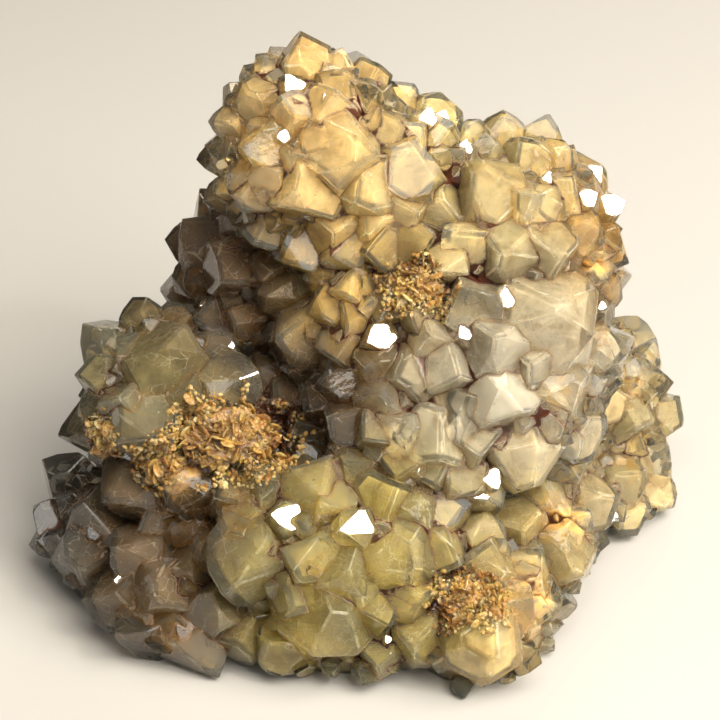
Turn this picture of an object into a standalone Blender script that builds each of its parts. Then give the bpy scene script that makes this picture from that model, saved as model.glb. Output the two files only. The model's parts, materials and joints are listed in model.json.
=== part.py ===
# Crested barite on quartz: a hand-sized mineral specimen.
# One druse of pale honey quartz, its crystals grown together on a lumpy matrix and cut flat
# where it stands, with small crests of bladed barite seated in pockets between the crystals.
# Sizes below are millimetres. X runs to the right, Y away from the front, Z up.

import math
from itertools import combinations

import bmesh
import bpy
import numpy as np
from mathutils import Matrix, Vector

MM = 0.001
SEED = 20

# The matrix is a blend of rounded lobes: centre and radii of each.
LOBES = {
    "trunk": ((9.0, 14.0, 30.0), (24.0, 23.0, 28.0)),
    "recess_back": ((-12.5, 21.0, 32.5), (14.0, 14.0, 21.0)),
    "crown": ((-7.5, 17.0, 62.8), (12.3, 13.0, 13.6)),
    "crown_shoulder": ((3.0, 17.0, 53.5), (15.0, 14.0, 15.0)),
    "right_shoulder": ((21.0, 15.0, 48.0), (15.3, 16.0, 15.6)),
    "right_wall": ((20.0, 7.0, 33.0), (16.5, 17.0, 20.0)),
    "far_right": ((36.5, 23.5, 11.8), (10.3, 13.0, 14.0)),
    "far_right_low": ((37.0, 17.5, 4.0), (11.3, 12.0, 9.0)),
    "left_lobe": ((-29.0, 3.0, 27.2), (11.0, 12.0, 11.6)),
    "left_bridge": ((-22.0, 1.0, 18.0), (14.0, 13.0, 16.0)),
    "left_foot": ((-37.5, -0.5, 4.5), (10.0, 12.5, 10.5)),
    "front_left_foot": ((-25.0, -12.5, 5.0), (13.5, 11.0, 9.0)),
    "front_cluster": ((-3.0, -13.0, 14.0), (18.0, 13.5, 14.0)),
    "front_toe": ((-1.0, -15.5, 4.0), (22.0, 12.5, 8.0)),
    "front_right_block": ((17.0, -17.5, 5.0), (11.0, 13.0, 10.5)),
    "front_right_low": ((26.0, -3.5, 6.5), (9.0, 11.5, 10.0)),
    "mid_ridge": ((8.0, -2.0, 27.0), (15.0, 13.0, 15.0)),
    "base": ((6.0, 11.0, 8.0), (35.0, 22.0, 14.0)),
}
LOBE_BLEND = 1.6

# The front crystals are laid out as they are seen from one viewpoint, in front and above:
# across and up are measured on a plane through VIEW_CENTRE that faces the viewpoint.
VIEW_CENTRE = Vector((0.0, 6.0, 33.6))
VIEW_TILT = math.radians(35.0)
VIEW_DISTANCE = 320.0
VIEW_RIGHT = Vector((1.0, 0.0, 0.0))
VIEW_UP = Vector((0.0, math.sin(VIEW_TILT), math.cos(VIEW_TILT)))
VIEW_FORWARD = Vector((0.0, math.cos(VIEW_TILT), -math.sin(VIEW_TILT)))
VIEWPOINT = VIEW_CENTRE - VIEW_FORWARD * VIEW_DISTANCE

# Each front crystal: across, up, width over the prism.
FRONT_CRYSTALS = {
    "crown": (
        (-8.2, 45.0, 6.8), (-3.4, 44.4, 4.6), (1.5, 42.2, 6.0), (6.3, 39.4, 5.0),
        (-16.2, 39.5, 5.8), (-19.5, 35.5, 5.4), (-20.8, 30.2, 5.8), (-1.4, 31.6, 9.2),
        (0.9, 25.0, 7.8), (-8.6, 24.8, 7.4), (-9.0, 29.8, 5.2), (-4.5, 37.6, 6.2),
        (-10.0, 36.2, 5.6), (-14.9, 32.0, 6.2), (-16.4, 25.6, 5.6), (-20.7, 24.7, 5.0),
        (-10.4, 40.8, 5.6), (4.6, 34.6, 5.6), (-14.0, 43.6, 4.6), (-12.6, 26.6, 4.6),
        (-3.0, 41.0, 5.2), (-5.8, 33.0, 4.8),
    ),
    "right_shoulder": (
        (9.0, 28.0, 7.6), (7.4, 33.2, 5.8), (11.6, 33.4, 5.8), (12.0, 37.2, 6.0),
        (12.0, 23.0, 6.4), (7.2, 22.6, 6.0), (18.3, 26.4, 8.8), (15.8, 18.2, 7.2),
        (21.3, 16.6, 8.4), (25.2, 23.0, 7.0), (28.4, 15.8, 7.2), (16.6, 33.6, 5.8),
        (21.2, 34.6, 5.8), (24.6, 30.6, 5.6), (29.0, 30.4, 5.4), (34.0, 27.4, 6.4),
        (30.0, 25.0, 6.0), (37.4, 23.0, 6.0), (37.6, 16.6, 6.0), (33.4, 19.6, 5.6),
        (37.0, 10.8, 5.4), (8.6, 17.6, 5.8), (12.2, 14.4, 5.6),
    ),
    "upper_middle": (
        (-14.0, 19.4, 6.2), (-9.4, 16.6, 6.6), (-4.0, 19.8, 5.8), (-1.2, 16.0, 5.8),
        (-13.8, 13.8, 5.4), (-12.6, 9.6, 6.2), (-6.2, 12.6, 5.2), (-5.4, 7.6, 5.6),
        (-1.8, 10.6, 5.8), (3.0, 16.6, 5.8), (2.4, 20.8, 5.2), (2.6, 3.4, 6.8),
        (-9.0, 3.4, 8.4), (-3.0, 1.4, 5.4), (-0.8, 6.6, 5.2), (4.4, 8.0, 5.2),
    ),
    "recess": (
        (-23.6, 18.0, 7.6), (-19.4, 13.2, 6.8), (-25.4, 11.8, 6.0), (-22.0, 6.4, 5.8),
        (-17.4, 5.6, 5.8), (-26.2, 17.6, 5.4), (-14.4, -2.2, 5.8), (-18.4, 20.4, 5.6),
    ),
    "right_wall": (
        (30.2, 6.4, 13.2), (17.0, 9.2, 7.4), (19.8, 2.4, 8.6), (21.6, -5.6, 9.2),
        (30.2, -4.6, 8.2), (25.6, -0.4, 5.8), (33.6, -11.6, 7.2), (27.8, -9.8, 6.2),
        (24.2, -15.6, 9.0), (31.2, -16.4, 6.8), (35.0, -21.0, 6.8), (10.6, 3.0, 6.4),
        (13.6, -2.0, 6.8), (8.6, 6.6, 5.6), (11.2, -12.4, 7.4), (14.6, -7.6, 6.8),
        (18.8, -19.4, 7.2), (18.0, -25.2, 7.0), (23.2, -25.4, 7.6), (18.6, -30.2, 6.8),
        (22.0, 9.4, 5.0), (15.4, 3.8, 4.8), (36.4, 1.4, 6.0), (36.6, -5.6, 6.0),
        (17.2, -12.8, 6.0), (27.6, -21.6, 6.2),
    ),
    "far_right": (
        (41.0, 3.0, 6.0), (43.4, -3.4, 6.4), (45.2, -8.0, 7.0), (43.6, -14.2, 7.2),
        (40.4, -9.2, 6.2), (44.2, -20.2, 6.6), (40.0, -17.6, 6.0), (40.6, -23.4, 6.2),
    ),
    "middle": (
        (-2.4, -9.0, 6.2), (2.0, -10.8, 5.6), (6.0, -10.8, 6.4), (-11.0, -6.4, 6.6),
        (-8.6, -11.0, 6.4), (3.4, -5.8, 6.0), (-3.8, -3.4, 5.6), (7.2, -2.2, 6.4),
        (2.0, -0.8, 5.8), (6.4, -15.8, 5.8), (10.4, -17.0, 5.6), (14.2, -18.6, 6.2),
        (-6.6, -6.8, 5.2),
    ),
    "left_lobe": (
        (-27.2, 5.8, 6.6), (-28.4, 0.6, 9.8), (-38.2, 2.2, 7.6), (-39.0, -3.2, 6.2),
        (-34.8, -6.0, 6.6), (-31.0, -10.2, 8.2), (-19.0, -3.8, 9.0), (-39.2, -7.6, 6.2),
        (-32.8, 6.0, 6.4), (-25.0, -4.8, 6.2), (-34.2, 0.2, 6.2), (-21.0, 2.0, 6.0),
    ),
    "left_low": (
        (-34.4, -19.4, 9.6), (-25.8, -19.6, 8.4), (-19.6, -19.8, 7.2), (-31.0, -25.2, 6.2),
        (-25.2, -25.2, 6.2), (-18.8, -25.0, 6.6), (-14.4, -18.2, 6.0),
    ),
    "left_foot": (
        (-44.6, -17.6, 7.2), (-45.8, -23.6, 7.2), (-43.0, -29.0, 7.2), (-39.6, -23.0, 7.4),
    ),
    "front_left_foot": (
        (-34.4, -29.2, 8.2), (-37.4, -35.6, 7.4), (-29.8, -35.2, 7.4), (-33.0, -40.0, 7.8),
        (-28.2, -41.4, 5.8), (-23.4, -43.2, 8.0), (-23.2, -28.8, 6.8), (-26.4, -31.4, 6.2),
        (-22.0, -36.6, 7.0),
    ),
    "front_cluster": (
        (-17.4, -31.4, 10.6), (-11.2, -23.8, 7.8), (-1.0, -25.2, 8.8), (-6.8, -18.4, 8.6),
        (-0.6, -16.2, 6.2), (-4.6, -21.8, 6.0), (4.2, -20.6, 6.8), (8.2, -22.8, 6.0),
        (5.6, -29.4, 9.0), (7.6, -35.2, 6.8), (-2.4, -32.2, 7.2), (-4.0, -39.8, 10.8),
        (-9.4, -35.6, 6.6), (2.6, -38.0, 6.6), (12.2, -28.8, 6.6), (13.6, -34.6, 5.8),
        (13.2, -23.0, 7.0), (2.6, -44.4, 5.4), (-8.4, -29.4, 6.2), (-12.6, -42.4, 6.0),
        (-18.0, -41.4, 6.6), (8.4, -41.4, 7.2),
    ),
    "front_right": (
        (18.0, -41.8, 9.0), (23.2, -36.8, 6.8), (30.6, -30.6, 7.8), (29.0, -36.0, 6.0),
        (25.4, -31.4, 6.4),
    ),
}

# Quartz: the rhombohedral faces of a point slope this much from the plane across its axis.
# Every other one of the six is small: a share of the rise sets how far it stands back.
POINT_SLOPE = math.radians(51.8)
WIDE_CRYSTAL = 7.6
SMALL_FACES_WIDE = (0.08, 0.30)
SMALL_FACES_NARROW = (0.20, 0.58)
HEAD_RISE = 0.08
ROOT_DEPTH = 4.0
PRISM_TAPER = math.radians(7.0)
FACE_SPREAD = 0.10
POINT_SPREAD = 0.12
LEAN_SPREAD = 0.26

# Crystals of the sides and back are spread by rule over what the viewpoint doesn't see,
# wider the further they turn away from it.
BACK_CENTRE = Vector((2.0, 12.0, 30.0))
BACK_REACH = 90.0
BACK_TRIES = 900
BACK_WIDTHS = (6.0, 12.0)
BACK_WIDTH_SPREAD = (0.75, 1.0)
BACK_WIDENING = 1.6
BACK_WIDENS_FROM = 0.1
BACK_SPACING = 0.95
BACK_RISE = 0.6
BACK_LOWEST = 5.0
FACING_LIMIT = 0.0
UNDERSIDE_LIMIT = -0.5

# Barite crests: across, up, half sizes, and the number of fans and of blades in each fan.
CRESTS = {
    "barite_crest_middle": (8.2, 11.0, (4.6, 4.0, 3.6), 2, 2),
    "barite_crest_left": (-19.6, -11.8, (8.6, 5.2, 5.0), 4, 2),
    "barite_crest_left_edge": (-38.4, -11.4, (4.0, 3.6, 3.4), 2, 2),
    "barite_crest_left_lower": (-29.6, -16.2, (3.8, 3.0, 3.2), 2, 2),
    "barite_crest_lower_right": (16.2, -36.4, (4.6, 3.6, 3.6), 2, 2),
}
CREST_GAP = 0.30
CREST_SINK = 0.6
CREST_SEAT = 0.5
CREST_FACING = 0.8
CREST_ROUNDING = 1
FAN_SPAN = 0.62
FAN_OFFSET = 0.3
BLADE_THICKNESS = 1.1
BLADE_FAN = math.radians(24.0)
BLADE_RADIUS = (0.86, 1.1)
BLADE_LIFT = 0.25
BLADE_SIDES = 6
BLADE_TURN = math.radians(8.0)
BLADE_SIDE_SPREAD = (-0.14, 0.06)
ROOT_SHARES = (0.9, 0.86, 0.5)
ROOT_SINK = 0.42

# The matrix is fused on a grid of this size and softened before the crystals are joined to it.
MATRIX_VOXEL = 1.6
MATRIX_SOFTENING = 6

# Shares of the triangles that stay on each mesh when its shortest edges are collapsed.
MATRIX_SHARE = 0.06
QUARTZ_SHARE = 0.575
CREST_SHARE = 0.75

BASE_BLOCK = 160.0
SLOPE_STEP = 0.3
TOUCH = 0.02
WALK_START = 75.0
WALK_SHARE = 0.8
WALK_LEAST = 0.1

COLOURS = {
    "quartz": ((0.62, 0.50, 0.30), 0.16),
    "barite": ((0.55, 0.30, 0.12), 0.55),
}


def start_empty():
    for thing in list(bpy.data.objects):
        bpy.data.objects.remove(thing, do_unlink=True)


def make_material(name):
    colour, roughness = COLOURS[name]
    material = bpy.data.materials.new(name)
    material.use_nodes = True
    shader = material.node_tree.nodes["Principled BSDF"]
    shader.inputs["Base Color"].default_value = (*colour, 1.0)
    shader.inputs["Roughness"].default_value = roughness
    shader.inputs["Metallic"].default_value = 0.0
    return material


# The blended lobes as one distance field, negative inside. Points come as rows.
def lobe_distance(points):
    points = np.atleast_2d(points)
    distances = []
    for centre, radii in LOBES.values():
        offset = points - np.array(centre)
        radii = np.array(radii)
        scaled = np.linalg.norm(offset / radii, axis=1)
        slope = np.linalg.norm(offset / radii ** 2, axis=1) + 1e-9
        distances.append(scaled * (scaled - 1.0) / slope)
    distances = np.array(distances)
    nearest = distances.min(axis=0)
    return nearest - LOBE_BLEND * np.log(np.exp((nearest - distances) / LOBE_BLEND).sum(axis=0))


def outward(point):
    steps = np.eye(3) * SLOPE_STEP
    slope = lobe_distance(np.array(point) + steps) - lobe_distance(np.array(point) - steps)
    return Vector(slope).normalized()


# Walks from start along direction to where the field reaches height, or passes closest to it.
def walk_to_surface(start, direction, height, far):
    travelled, best, best_at = 0.0, math.inf, 0.0
    while travelled < far:
        gap = float(lobe_distance(np.array(start + direction * travelled))[0]) - height
        if gap < best:
            best, best_at = gap, travelled
        if gap < TOUCH:
            break
        travelled += max(gap * WALK_SHARE, WALK_LEAST)
    return start + direction * best_at


def seen_point(across, up, height):
    aim = VIEW_CENTRE + VIEW_RIGHT * across + VIEW_UP * up
    direction = (aim - VIEWPOINT).normalized()
    near = VIEWPOINT + direction * (VIEW_DISTANCE - WALK_START)
    return walk_to_surface(near, direction, height, 2.0 * WALK_START)


# Corners and faces of the convex solid inside the planes normal . p = offset.
def convex_solid(normals, offsets):
    normals, offsets = np.array(normals), np.array(offsets)
    triples = np.array(list(combinations(range(len(normals)), 3)))
    systems = normals[triples]
    open_corner = np.abs(np.linalg.det(systems)) > 1e-6
    triples, systems = triples[open_corner], systems[open_corner]
    corners = np.linalg.solve(systems, offsets[triples][..., None])[..., 0]
    inside = (corners @ normals.T <= offsets + 1e-6).all(axis=1)
    kept = []
    for corner in corners[inside]:
        if all(np.linalg.norm(corner - other) > 1e-4 for other in kept):
            kept.append(corner)
    kept = np.array(kept)
    faces = []
    for normal, offset in zip(normals, offsets):
        ring = np.where(np.abs(kept @ normal - offset) < 1e-4)[0]
        if len(ring) < 3:
            continue
        middle = kept[ring].mean(axis=0)
        side = kept[ring[0]] - middle
        side /= np.linalg.norm(side)
        turned = np.cross(normal, side)
        spokes = kept[ring] - middle
        order = np.argsort(np.arctan2(spokes @ turned, spokes @ side))
        faces.append([int(index) for index in ring[order]])
    return kept, faces


# A quartz crystal with its shoulder at z = 0, its point above and its root below.
def quartz_planes(width, root, rng):
    apothem = width / 2.0
    rise = apothem * math.tan(POINT_SLOPE)
    small_faces = SMALL_FACES_WIDE if width > WIDE_CRYSTAL else SMALL_FACES_NARROW
    normals, offsets = [(0.0, 0.0, -1.0)], [root]
    for side in range(6):
        angle = math.radians(60.0 * side)
        out_x, out_y = math.cos(angle), math.sin(angle)
        reach = apothem * (1.0 + rng.uniform(-FACE_SPREAD, FACE_SPREAD))
        normals.append((out_x * math.cos(PRISM_TAPER), out_y * math.cos(PRISM_TAPER),
                        -math.sin(PRISM_TAPER)))
        offsets.append(reach * math.cos(PRISM_TAPER))
        small_face = rng.uniform(*small_faces)
        raised = small_face if side % 2 else rng.uniform(-POINT_SPREAD, POINT_SPREAD)
        top = rise * (1.0 + raised)
        normals.append((out_x * math.sin(POINT_SLOPE), out_y * math.sin(POINT_SLOPE),
                        math.cos(POINT_SLOPE)))
        offsets.append(top * math.cos(POINT_SLOPE))
    return normals, offsets


def frame_along(axis, spin, origin):
    turn = axis.to_track_quat("Z", "Y").to_matrix() @ Matrix.Rotation(spin, 3, "Z")
    return Matrix.Translation(origin) @ turn.to_4x4()


def new_object(name, corners, faces, place, collection):
    mesh = bpy.data.meshes.new(name)
    points = [place @ Vector(corner) * MM for corner in corners]
    mesh.from_pydata(points, [], faces)
    thing = bpy.data.objects.new(name, mesh)
    collection.objects.link(thing)
    return thing


def new_collection(name):
    collection = bpy.data.collections.new(name)
    bpy.context.scene.collection.children.link(collection)
    return collection


def add_crystal(width, shoulder, lean, rng, collection):
    axis = (outward(shoulder) + lean).normalized()
    above = max(float(lobe_distance(np.array(shoulder))[0]), 0.0)
    corners, faces = convex_solid(*quartz_planes(width, above + ROOT_DEPTH, rng))
    place = frame_along(axis, rng.uniform(0.0, math.tau), shoulder)
    return new_object("crystal", corners, faces, place, collection)


def random_lean(rng):
    return Vector(rng.normal(0.0, LEAN_SPREAD, 3))


def plant_front_crystals(rng, collection):
    planted = []
    for rows in FRONT_CRYSTALS.values():
        for across, up, width in rows:
            shoulder = seen_point(across, up, width * HEAD_RISE)
            add_crystal(width, shoulder, random_lean(rng), rng, collection)
            planted.append((shoulder, width))
    return planted


# Directions spread evenly over a sphere, each walked inwards to the lobes.
def plant_back_crystals(rng, collection, planted):
    golden = math.pi * (3.0 - math.sqrt(5.0))
    narrow, wide = BACK_WIDTHS
    for index in range(BACK_TRIES):
        level = 1.0 - 2.0 * (index + 0.5) / BACK_TRIES
        around = math.sqrt(1.0 - level * level)
        direction = Vector((around * math.cos(golden * index), around * math.sin(golden * index), level))
        start = BACK_CENTRE + direction * BACK_REACH
        shoulder = walk_to_surface(start, -direction, BACK_RISE, BACK_REACH)
        normal = outward(shoulder)
        facing = normal.dot((VIEWPOINT - shoulder).normalized())
        turned_away = min(max(BACK_WIDENS_FROM - facing, 0.0) * BACK_WIDENING, 1.0)
        width = narrow + (wide - narrow) * turned_away * rng.uniform(*BACK_WIDTH_SPREAD)
        crowded = any((shoulder - other).length < BACK_SPACING * (width + other_width) / 2.0
                      for other, other_width in planted)
        low = shoulder.z < BACK_LOWEST or normal.z < UNDERSIDE_LIMIT
        if crowded or low or facing > FACING_LIMIT:
            continue
        add_crystal(width, shoulder, random_lean(rng), rng, collection)
        planted.append((shoulder, width))


# The lobes run together into one closed, roughly faceted lump.
def build_matrix():
    shape = bmesh.new()
    for centre, radii in LOBES.values():
        size = Matrix.Diagonal((*radii, 1.0))
        made = bmesh.ops.create_icosphere(shape, subdivisions=3, radius=1.0)
        bmesh.ops.transform(shape, matrix=Matrix.Scale(MM, 4) @ Matrix.Translation(centre) @ size,
                            verts=made["verts"])
    mesh = bpy.data.meshes.new("matrix")
    shape.to_mesh(mesh)
    shape.free()
    thing = bpy.data.objects.new("matrix", mesh)
    bpy.context.scene.collection.objects.link(thing)
    remesh = thing.modifiers.new("remesh", "REMESH")
    remesh.mode = "VOXEL"
    remesh.voxel_size = MATRIX_VOXEL * MM
    smooth = thing.modifiers.new("smooth", "SMOOTH")
    smooth.factor = 0.5
    smooth.iterations = MATRIX_SOFTENING
    add_thinning(thing, MATRIX_SHARE)
    return thing


def block_below(collection):
    corners = [(x, y, z) for x in (-BASE_BLOCK, BASE_BLOCK) for y in (-BASE_BLOCK, BASE_BLOCK)
               for z in (-BASE_BLOCK, 0.0)]
    faces = [(0, 1, 3, 2), (4, 6, 7, 5), (0, 4, 5, 1), (2, 3, 7, 6), (0, 2, 6, 4), (1, 5, 7, 3)]
    return new_object("block_below", corners, faces, Matrix.Identity(4), collection)


# Collapses the shortest edges first, so on the druse it clears the joints and leaves the faces.
def add_thinning(thing, share):
    thin = thing.modifiers.new("thin", "DECIMATE")
    thin.ratio = share


def add_boolean(thing, operation, collection, solver="EXACT"):
    step = thing.modifiers.new(operation.lower(), "BOOLEAN")
    step.operation = operation
    step.operand_type = "COLLECTION"
    step.collection = collection
    step.solver = solver


def applied_mesh(thing, name):
    evaluated = thing.evaluated_get(bpy.context.evaluated_depsgraph_get())
    mesh = bpy.data.meshes.new_from_object(evaluated)
    mesh.name = name
    return mesh


# Keeps the largest shell, so nothing floats and no closed hollow is left inside.
def keep_largest_shell(mesh):
    shape = bmesh.new()
    shape.from_mesh(mesh)
    left = set(shape.verts)
    shells = []
    while left:
        shell, to_visit = set(), [left.pop()]
        while to_visit:
            vertex = to_visit.pop()
            shell.add(vertex)
            for edge in vertex.link_edges:
                other = edge.other_vert(vertex)
                if other in left:
                    left.remove(other)
                    to_visit.append(other)
        shells.append(shell)
    shells.sort(key=len)
    for shell in shells[:-1]:
        bmesh.ops.delete(shape, geom=list(shell), context="VERTS")
    bmesh.ops.triangulate(shape, faces=shape.faces)
    shape.to_mesh(mesh)
    shape.free()
    return mesh


def hand_over(name, mesh, material):
    mesh.materials.clear()
    mesh.materials.append(material)
    thing = bpy.data.objects.new(name, mesh)
    bpy.context.scene.collection.objects.link(thing)
    return thing


def clear_collection(collection):
    for thing in list(collection.objects):
        bpy.data.objects.remove(thing, do_unlink=True)
    bpy.data.collections.remove(collection)


# A barite blade: a thin many-sided plate, upright, with its middle at the origin.
def blade_planes(radius, rng):
    normals = [(0.0, 1.0, 0.0), (0.0, -1.0, 0.0)]
    offsets = [BLADE_THICKNESS / 2.0, BLADE_THICKNESS / 2.0]
    for side in range(BLADE_SIDES):
        angle = math.tau * side / BLADE_SIDES + rng.uniform(-BLADE_TURN, BLADE_TURN)
        normals.append((math.cos(angle), 0.0, math.sin(angle)))
        offsets.append(radius * (1.0 + rng.uniform(*BLADE_SIDE_SPREAD)))
    return normals, offsets


# A rounded, evenly faceted lump with these half sizes, grown by extra on every side.
def crest_shell(half_sizes, place, extra, name, collection):
    shape = bmesh.new()
    bmesh.ops.create_icosphere(shape, subdivisions=CREST_ROUNDING, radius=1.0)
    grown = Matrix.Diagonal((*(half + extra for half in half_sizes), 1.0))
    bmesh.ops.transform(shape, matrix=Matrix.Scale(MM, 4) @ place @ grown, verts=shape.verts)
    mesh = bpy.data.meshes.new(name)
    shape.to_mesh(mesh)
    shape.free()
    thing = bpy.data.objects.new(name, mesh)
    collection.objects.link(thing)
    return thing


# A crest looks outwards and a little towards the viewpoint, its long side level.
def crest_place(across, up, half_sizes):
    seat = seen_point(across, up, half_sizes[2] * CREST_SINK)
    axis = (outward(seat) - VIEW_FORWARD * CREST_FACING).normalized()
    side = VIEW_UP.cross(axis).normalized()
    rise = axis.cross(side)
    turn = Matrix((side, rise, axis)).transposed()
    return Matrix.Translation(seat - axis * half_sizes[2] * CREST_SEAT) @ turn.to_4x4()


# A crest is a rounded root with fans of blades standing on it.
def build_crest(name, row, rng, material, pockets):
    across, up, half_sizes, fans, blades = row
    half_length, half_width, half_height = half_sizes
    place = crest_place(across, up, half_sizes)
    crest_shell(half_sizes, place, CREST_GAP, "pocket_" + name, pockets)
    limit = new_collection("limit_" + name)
    crest_shell(half_sizes, place, 0.0, "limit", limit)
    parts = new_collection("blades_" + name)
    for fan in range(fans):
        along = ((fan + 0.5) / fans * 2.0 - 1.0) * half_length * FAN_SPAN
        aside = rng.uniform(-FAN_OFFSET, FAN_OFFSET) * half_width
        turn = rng.uniform(0.0, math.pi)
        for blade in range(blades):
            tilt = (blade - (blades - 1) / 2.0) * BLADE_FAN
            radius = half_height * rng.uniform(*BLADE_RADIUS)
            corners, faces = convex_solid(*blade_planes(radius, rng))
            local = (Matrix.Translation((along, aside, 0.0)) @ Matrix.Rotation(turn, 4, "Z")
                     @ Matrix.Rotation(tilt, 4, "X")
                     @ Matrix.Translation((0.0, 0.0, radius * BLADE_LIFT)))
            new_object("blade", corners, faces, place @ local, parts)
    root_sizes = [half * share for half, share in zip(half_sizes, ROOT_SHARES)]
    sunk = place @ Matrix.Translation((0.0, 0.0, -half_height * ROOT_SINK))
    root = crest_shell(root_sizes, sunk, 0.0, "root", bpy.context.scene.collection)
    # the exact solver can leave the thin blades' rims open where the limit trims them
    add_boolean(root, "UNION", parts, "MANIFOLD")
    add_boolean(root, "INTERSECT", limit, "MANIFOLD")
    add_thinning(root, CREST_SHARE)
    mesh = keep_largest_shell(applied_mesh(root, name))
    bpy.data.objects.remove(root, do_unlink=True)
    clear_collection(parts)
    clear_collection(limit)
    return hand_over(name, mesh, material)


def build_quartz(rng, material, pockets):
    crystals = new_collection("crystals")
    below = new_collection("below")
    core = build_matrix()
    planted = plant_front_crystals(rng, crystals)
    plant_back_crystals(rng, crystals, planted)
    block_below(below)
    add_boolean(core, "UNION", crystals)
    add_thinning(core, QUARTZ_SHARE)
    add_boolean(core, "DIFFERENCE", below)
    add_boolean(core, "DIFFERENCE", pockets)
    mesh = keep_largest_shell(applied_mesh(core, "quartz_druse"))
    bpy.data.objects.remove(core, do_unlink=True)
    for collection in (crystals, below):
        clear_collection(collection)
    print("quartz crystals", len(planted), "triangles", len(mesh.polygons))
    return hand_over("quartz_druse", mesh, material)


def main():
    start_empty()
    barite = make_material("barite")
    quartz = make_material("quartz")
    pockets = new_collection("pockets")
    for index, (name, row) in enumerate(CRESTS.items()):
        crest = build_crest(name, row, np.random.default_rng(SEED + 1 + index), barite, pockets)
        print(name, "triangles", len(crest.data.polygons))
    build_quartz(np.random.default_rng(SEED), quartz, pockets)
    clear_collection(pockets)


main()
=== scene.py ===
# Crested barite on quartz, dressed for the render.
# Sizes are millimetres unless a name says otherwise: X to the right, Y away from the front, Z up.

import json
import math
from itertools import combinations

import bmesh
import bpy
import numpy as np
from mathutils import Matrix, Vector, kdtree, noise

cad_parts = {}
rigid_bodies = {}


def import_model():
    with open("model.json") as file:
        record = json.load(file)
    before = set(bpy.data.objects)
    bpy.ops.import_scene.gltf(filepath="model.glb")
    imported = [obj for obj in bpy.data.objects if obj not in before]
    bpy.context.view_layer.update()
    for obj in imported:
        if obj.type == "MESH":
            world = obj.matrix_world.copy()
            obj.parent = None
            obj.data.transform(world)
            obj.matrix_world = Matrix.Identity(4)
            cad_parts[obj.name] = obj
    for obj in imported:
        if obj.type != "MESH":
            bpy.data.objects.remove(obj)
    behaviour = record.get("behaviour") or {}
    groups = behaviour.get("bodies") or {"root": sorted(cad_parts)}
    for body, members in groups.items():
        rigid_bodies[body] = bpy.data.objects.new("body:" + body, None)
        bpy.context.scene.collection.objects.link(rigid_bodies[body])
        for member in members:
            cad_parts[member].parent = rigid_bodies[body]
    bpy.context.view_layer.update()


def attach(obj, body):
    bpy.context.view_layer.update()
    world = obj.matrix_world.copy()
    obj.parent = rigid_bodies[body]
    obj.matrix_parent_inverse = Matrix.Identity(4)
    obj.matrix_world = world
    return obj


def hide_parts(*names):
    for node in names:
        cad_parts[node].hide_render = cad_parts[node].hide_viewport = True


mm = 0.001
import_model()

# the lumps of rock that carry the crystals: centre and radii
lobes = {
    "trunk": ((9.0, 14.0, 30.0), (24.0, 23.0, 28.0)),
    "recessBack": ((-12.5, 21.0, 32.5), (14.0, 14.0, 21.0)),
    "crown": ((-7.5, 17.0, 62.8), (12.3, 13.0, 13.6)),
    "crownShoulder": ((3.0, 17.0, 53.5), (15.0, 14.0, 15.0)),
    "rightShoulder": ((21.0, 15.0, 48.0), (15.3, 16.0, 15.6)),
    "rightWall": ((20.0, 7.0, 33.0), (16.5, 17.0, 20.0)),
    "farRight": ((36.5, 23.5, 11.8), (10.3, 13.0, 14.0)),
    "farRightLow": ((37.0, 17.5, 4.0), (11.3, 12.0, 9.0)),
    "leftLobe": ((-29.0, 3.0, 27.2), (11.0, 12.0, 11.6)),
    "leftBridge": ((-22.0, 1.0, 18.0), (14.0, 13.0, 16.0)),
    "leftFoot": ((-37.5, -0.5, 4.5), (10.0, 12.5, 10.5)),
    "frontLeftFoot": ((-25.0, -12.5, 5.0), (13.5, 11.0, 9.0)),
    "frontCluster": ((-3.0, -13.0, 14.0), (18.0, 13.5, 14.0)),
    "frontToe": ((-1.0, -15.5, 4.0), (22.0, 12.5, 8.0)),
    "frontRightBlock": ((17.0, -17.5, 5.0), (11.0, 13.0, 10.5)),
    "frontRightLow": ((26.0, -3.5, 6.5), (9.0, 11.5, 10.0)),
    "midRidge": ((8.0, -2.0, 27.0), (15.0, 13.0, 15.0)),
    "base": ((6.0, 11.0, 8.0), (35.0, 22.0, 14.0)),
}
lobeBlend = 1.6

# where the camera stands: across and up are measured on a plane through centre that faces it
look = {
    "centre": Vector((0.0, 6.0, 33.6)),
    "tilt": math.radians(35.0),
    "distance": 320.0,
    "width": 108.0,  # that the picture shows at the centre
    "sensor": 36.0,
    "clipStart": 0.01,  # metres
    "searchFrom": 75.0,  # this far before the plane, a line of sight starts to look for the surface
    "searchLength": 150.0,
}
viewRight = Vector((1.0, 0.0, 0.0))
viewUp = Vector((0.0, math.sin(look["tilt"]), math.cos(look["tilt"])))
viewForward = Vector((0.0, math.cos(look["tilt"]), -math.sin(look["tilt"])))
viewpoint = look["centre"] - viewForward * look["distance"]
# where the main light stands, in metres
keyPlace = look["centre"] * mm + Vector((0.38, -0.24, 0.50))
# a walk to the surface: the gap that counts as touching, its stride, and the step for a slope
walk = {"touch": 0.02, "stride": 0.8, "shortest": 0.1, "slopeStep": 0.3}


# the blended lobes, each shrunk by the given depth, as one distance that is negative inside
def lobeDistance(points, shrink=0.0):
    points = np.atleast_2d(points)
    distances = []
    for centre, radii in lobes.values():
        offset = points - np.array(centre)
        radii = np.array(radii) - shrink
        scaled = np.linalg.norm(offset / radii, axis=1)
        slope = np.linalg.norm(offset / radii ** 2, axis=1) + 1e-9
        distances.append(scaled * (scaled - 1.0) / slope)
    distances = np.array(distances)
    nearest = distances.min(axis=0)
    return nearest - lobeBlend * np.log(np.exp((nearest - distances) / lobeBlend).sum(axis=0))


# the direction away from the rock
def outward(point):
    steps = np.eye(3) * walk["slopeStep"]
    slope = lobeDistance(np.array(point) + steps) - lobeDistance(np.array(point) - steps)
    return Vector(slope).normalized()


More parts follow.
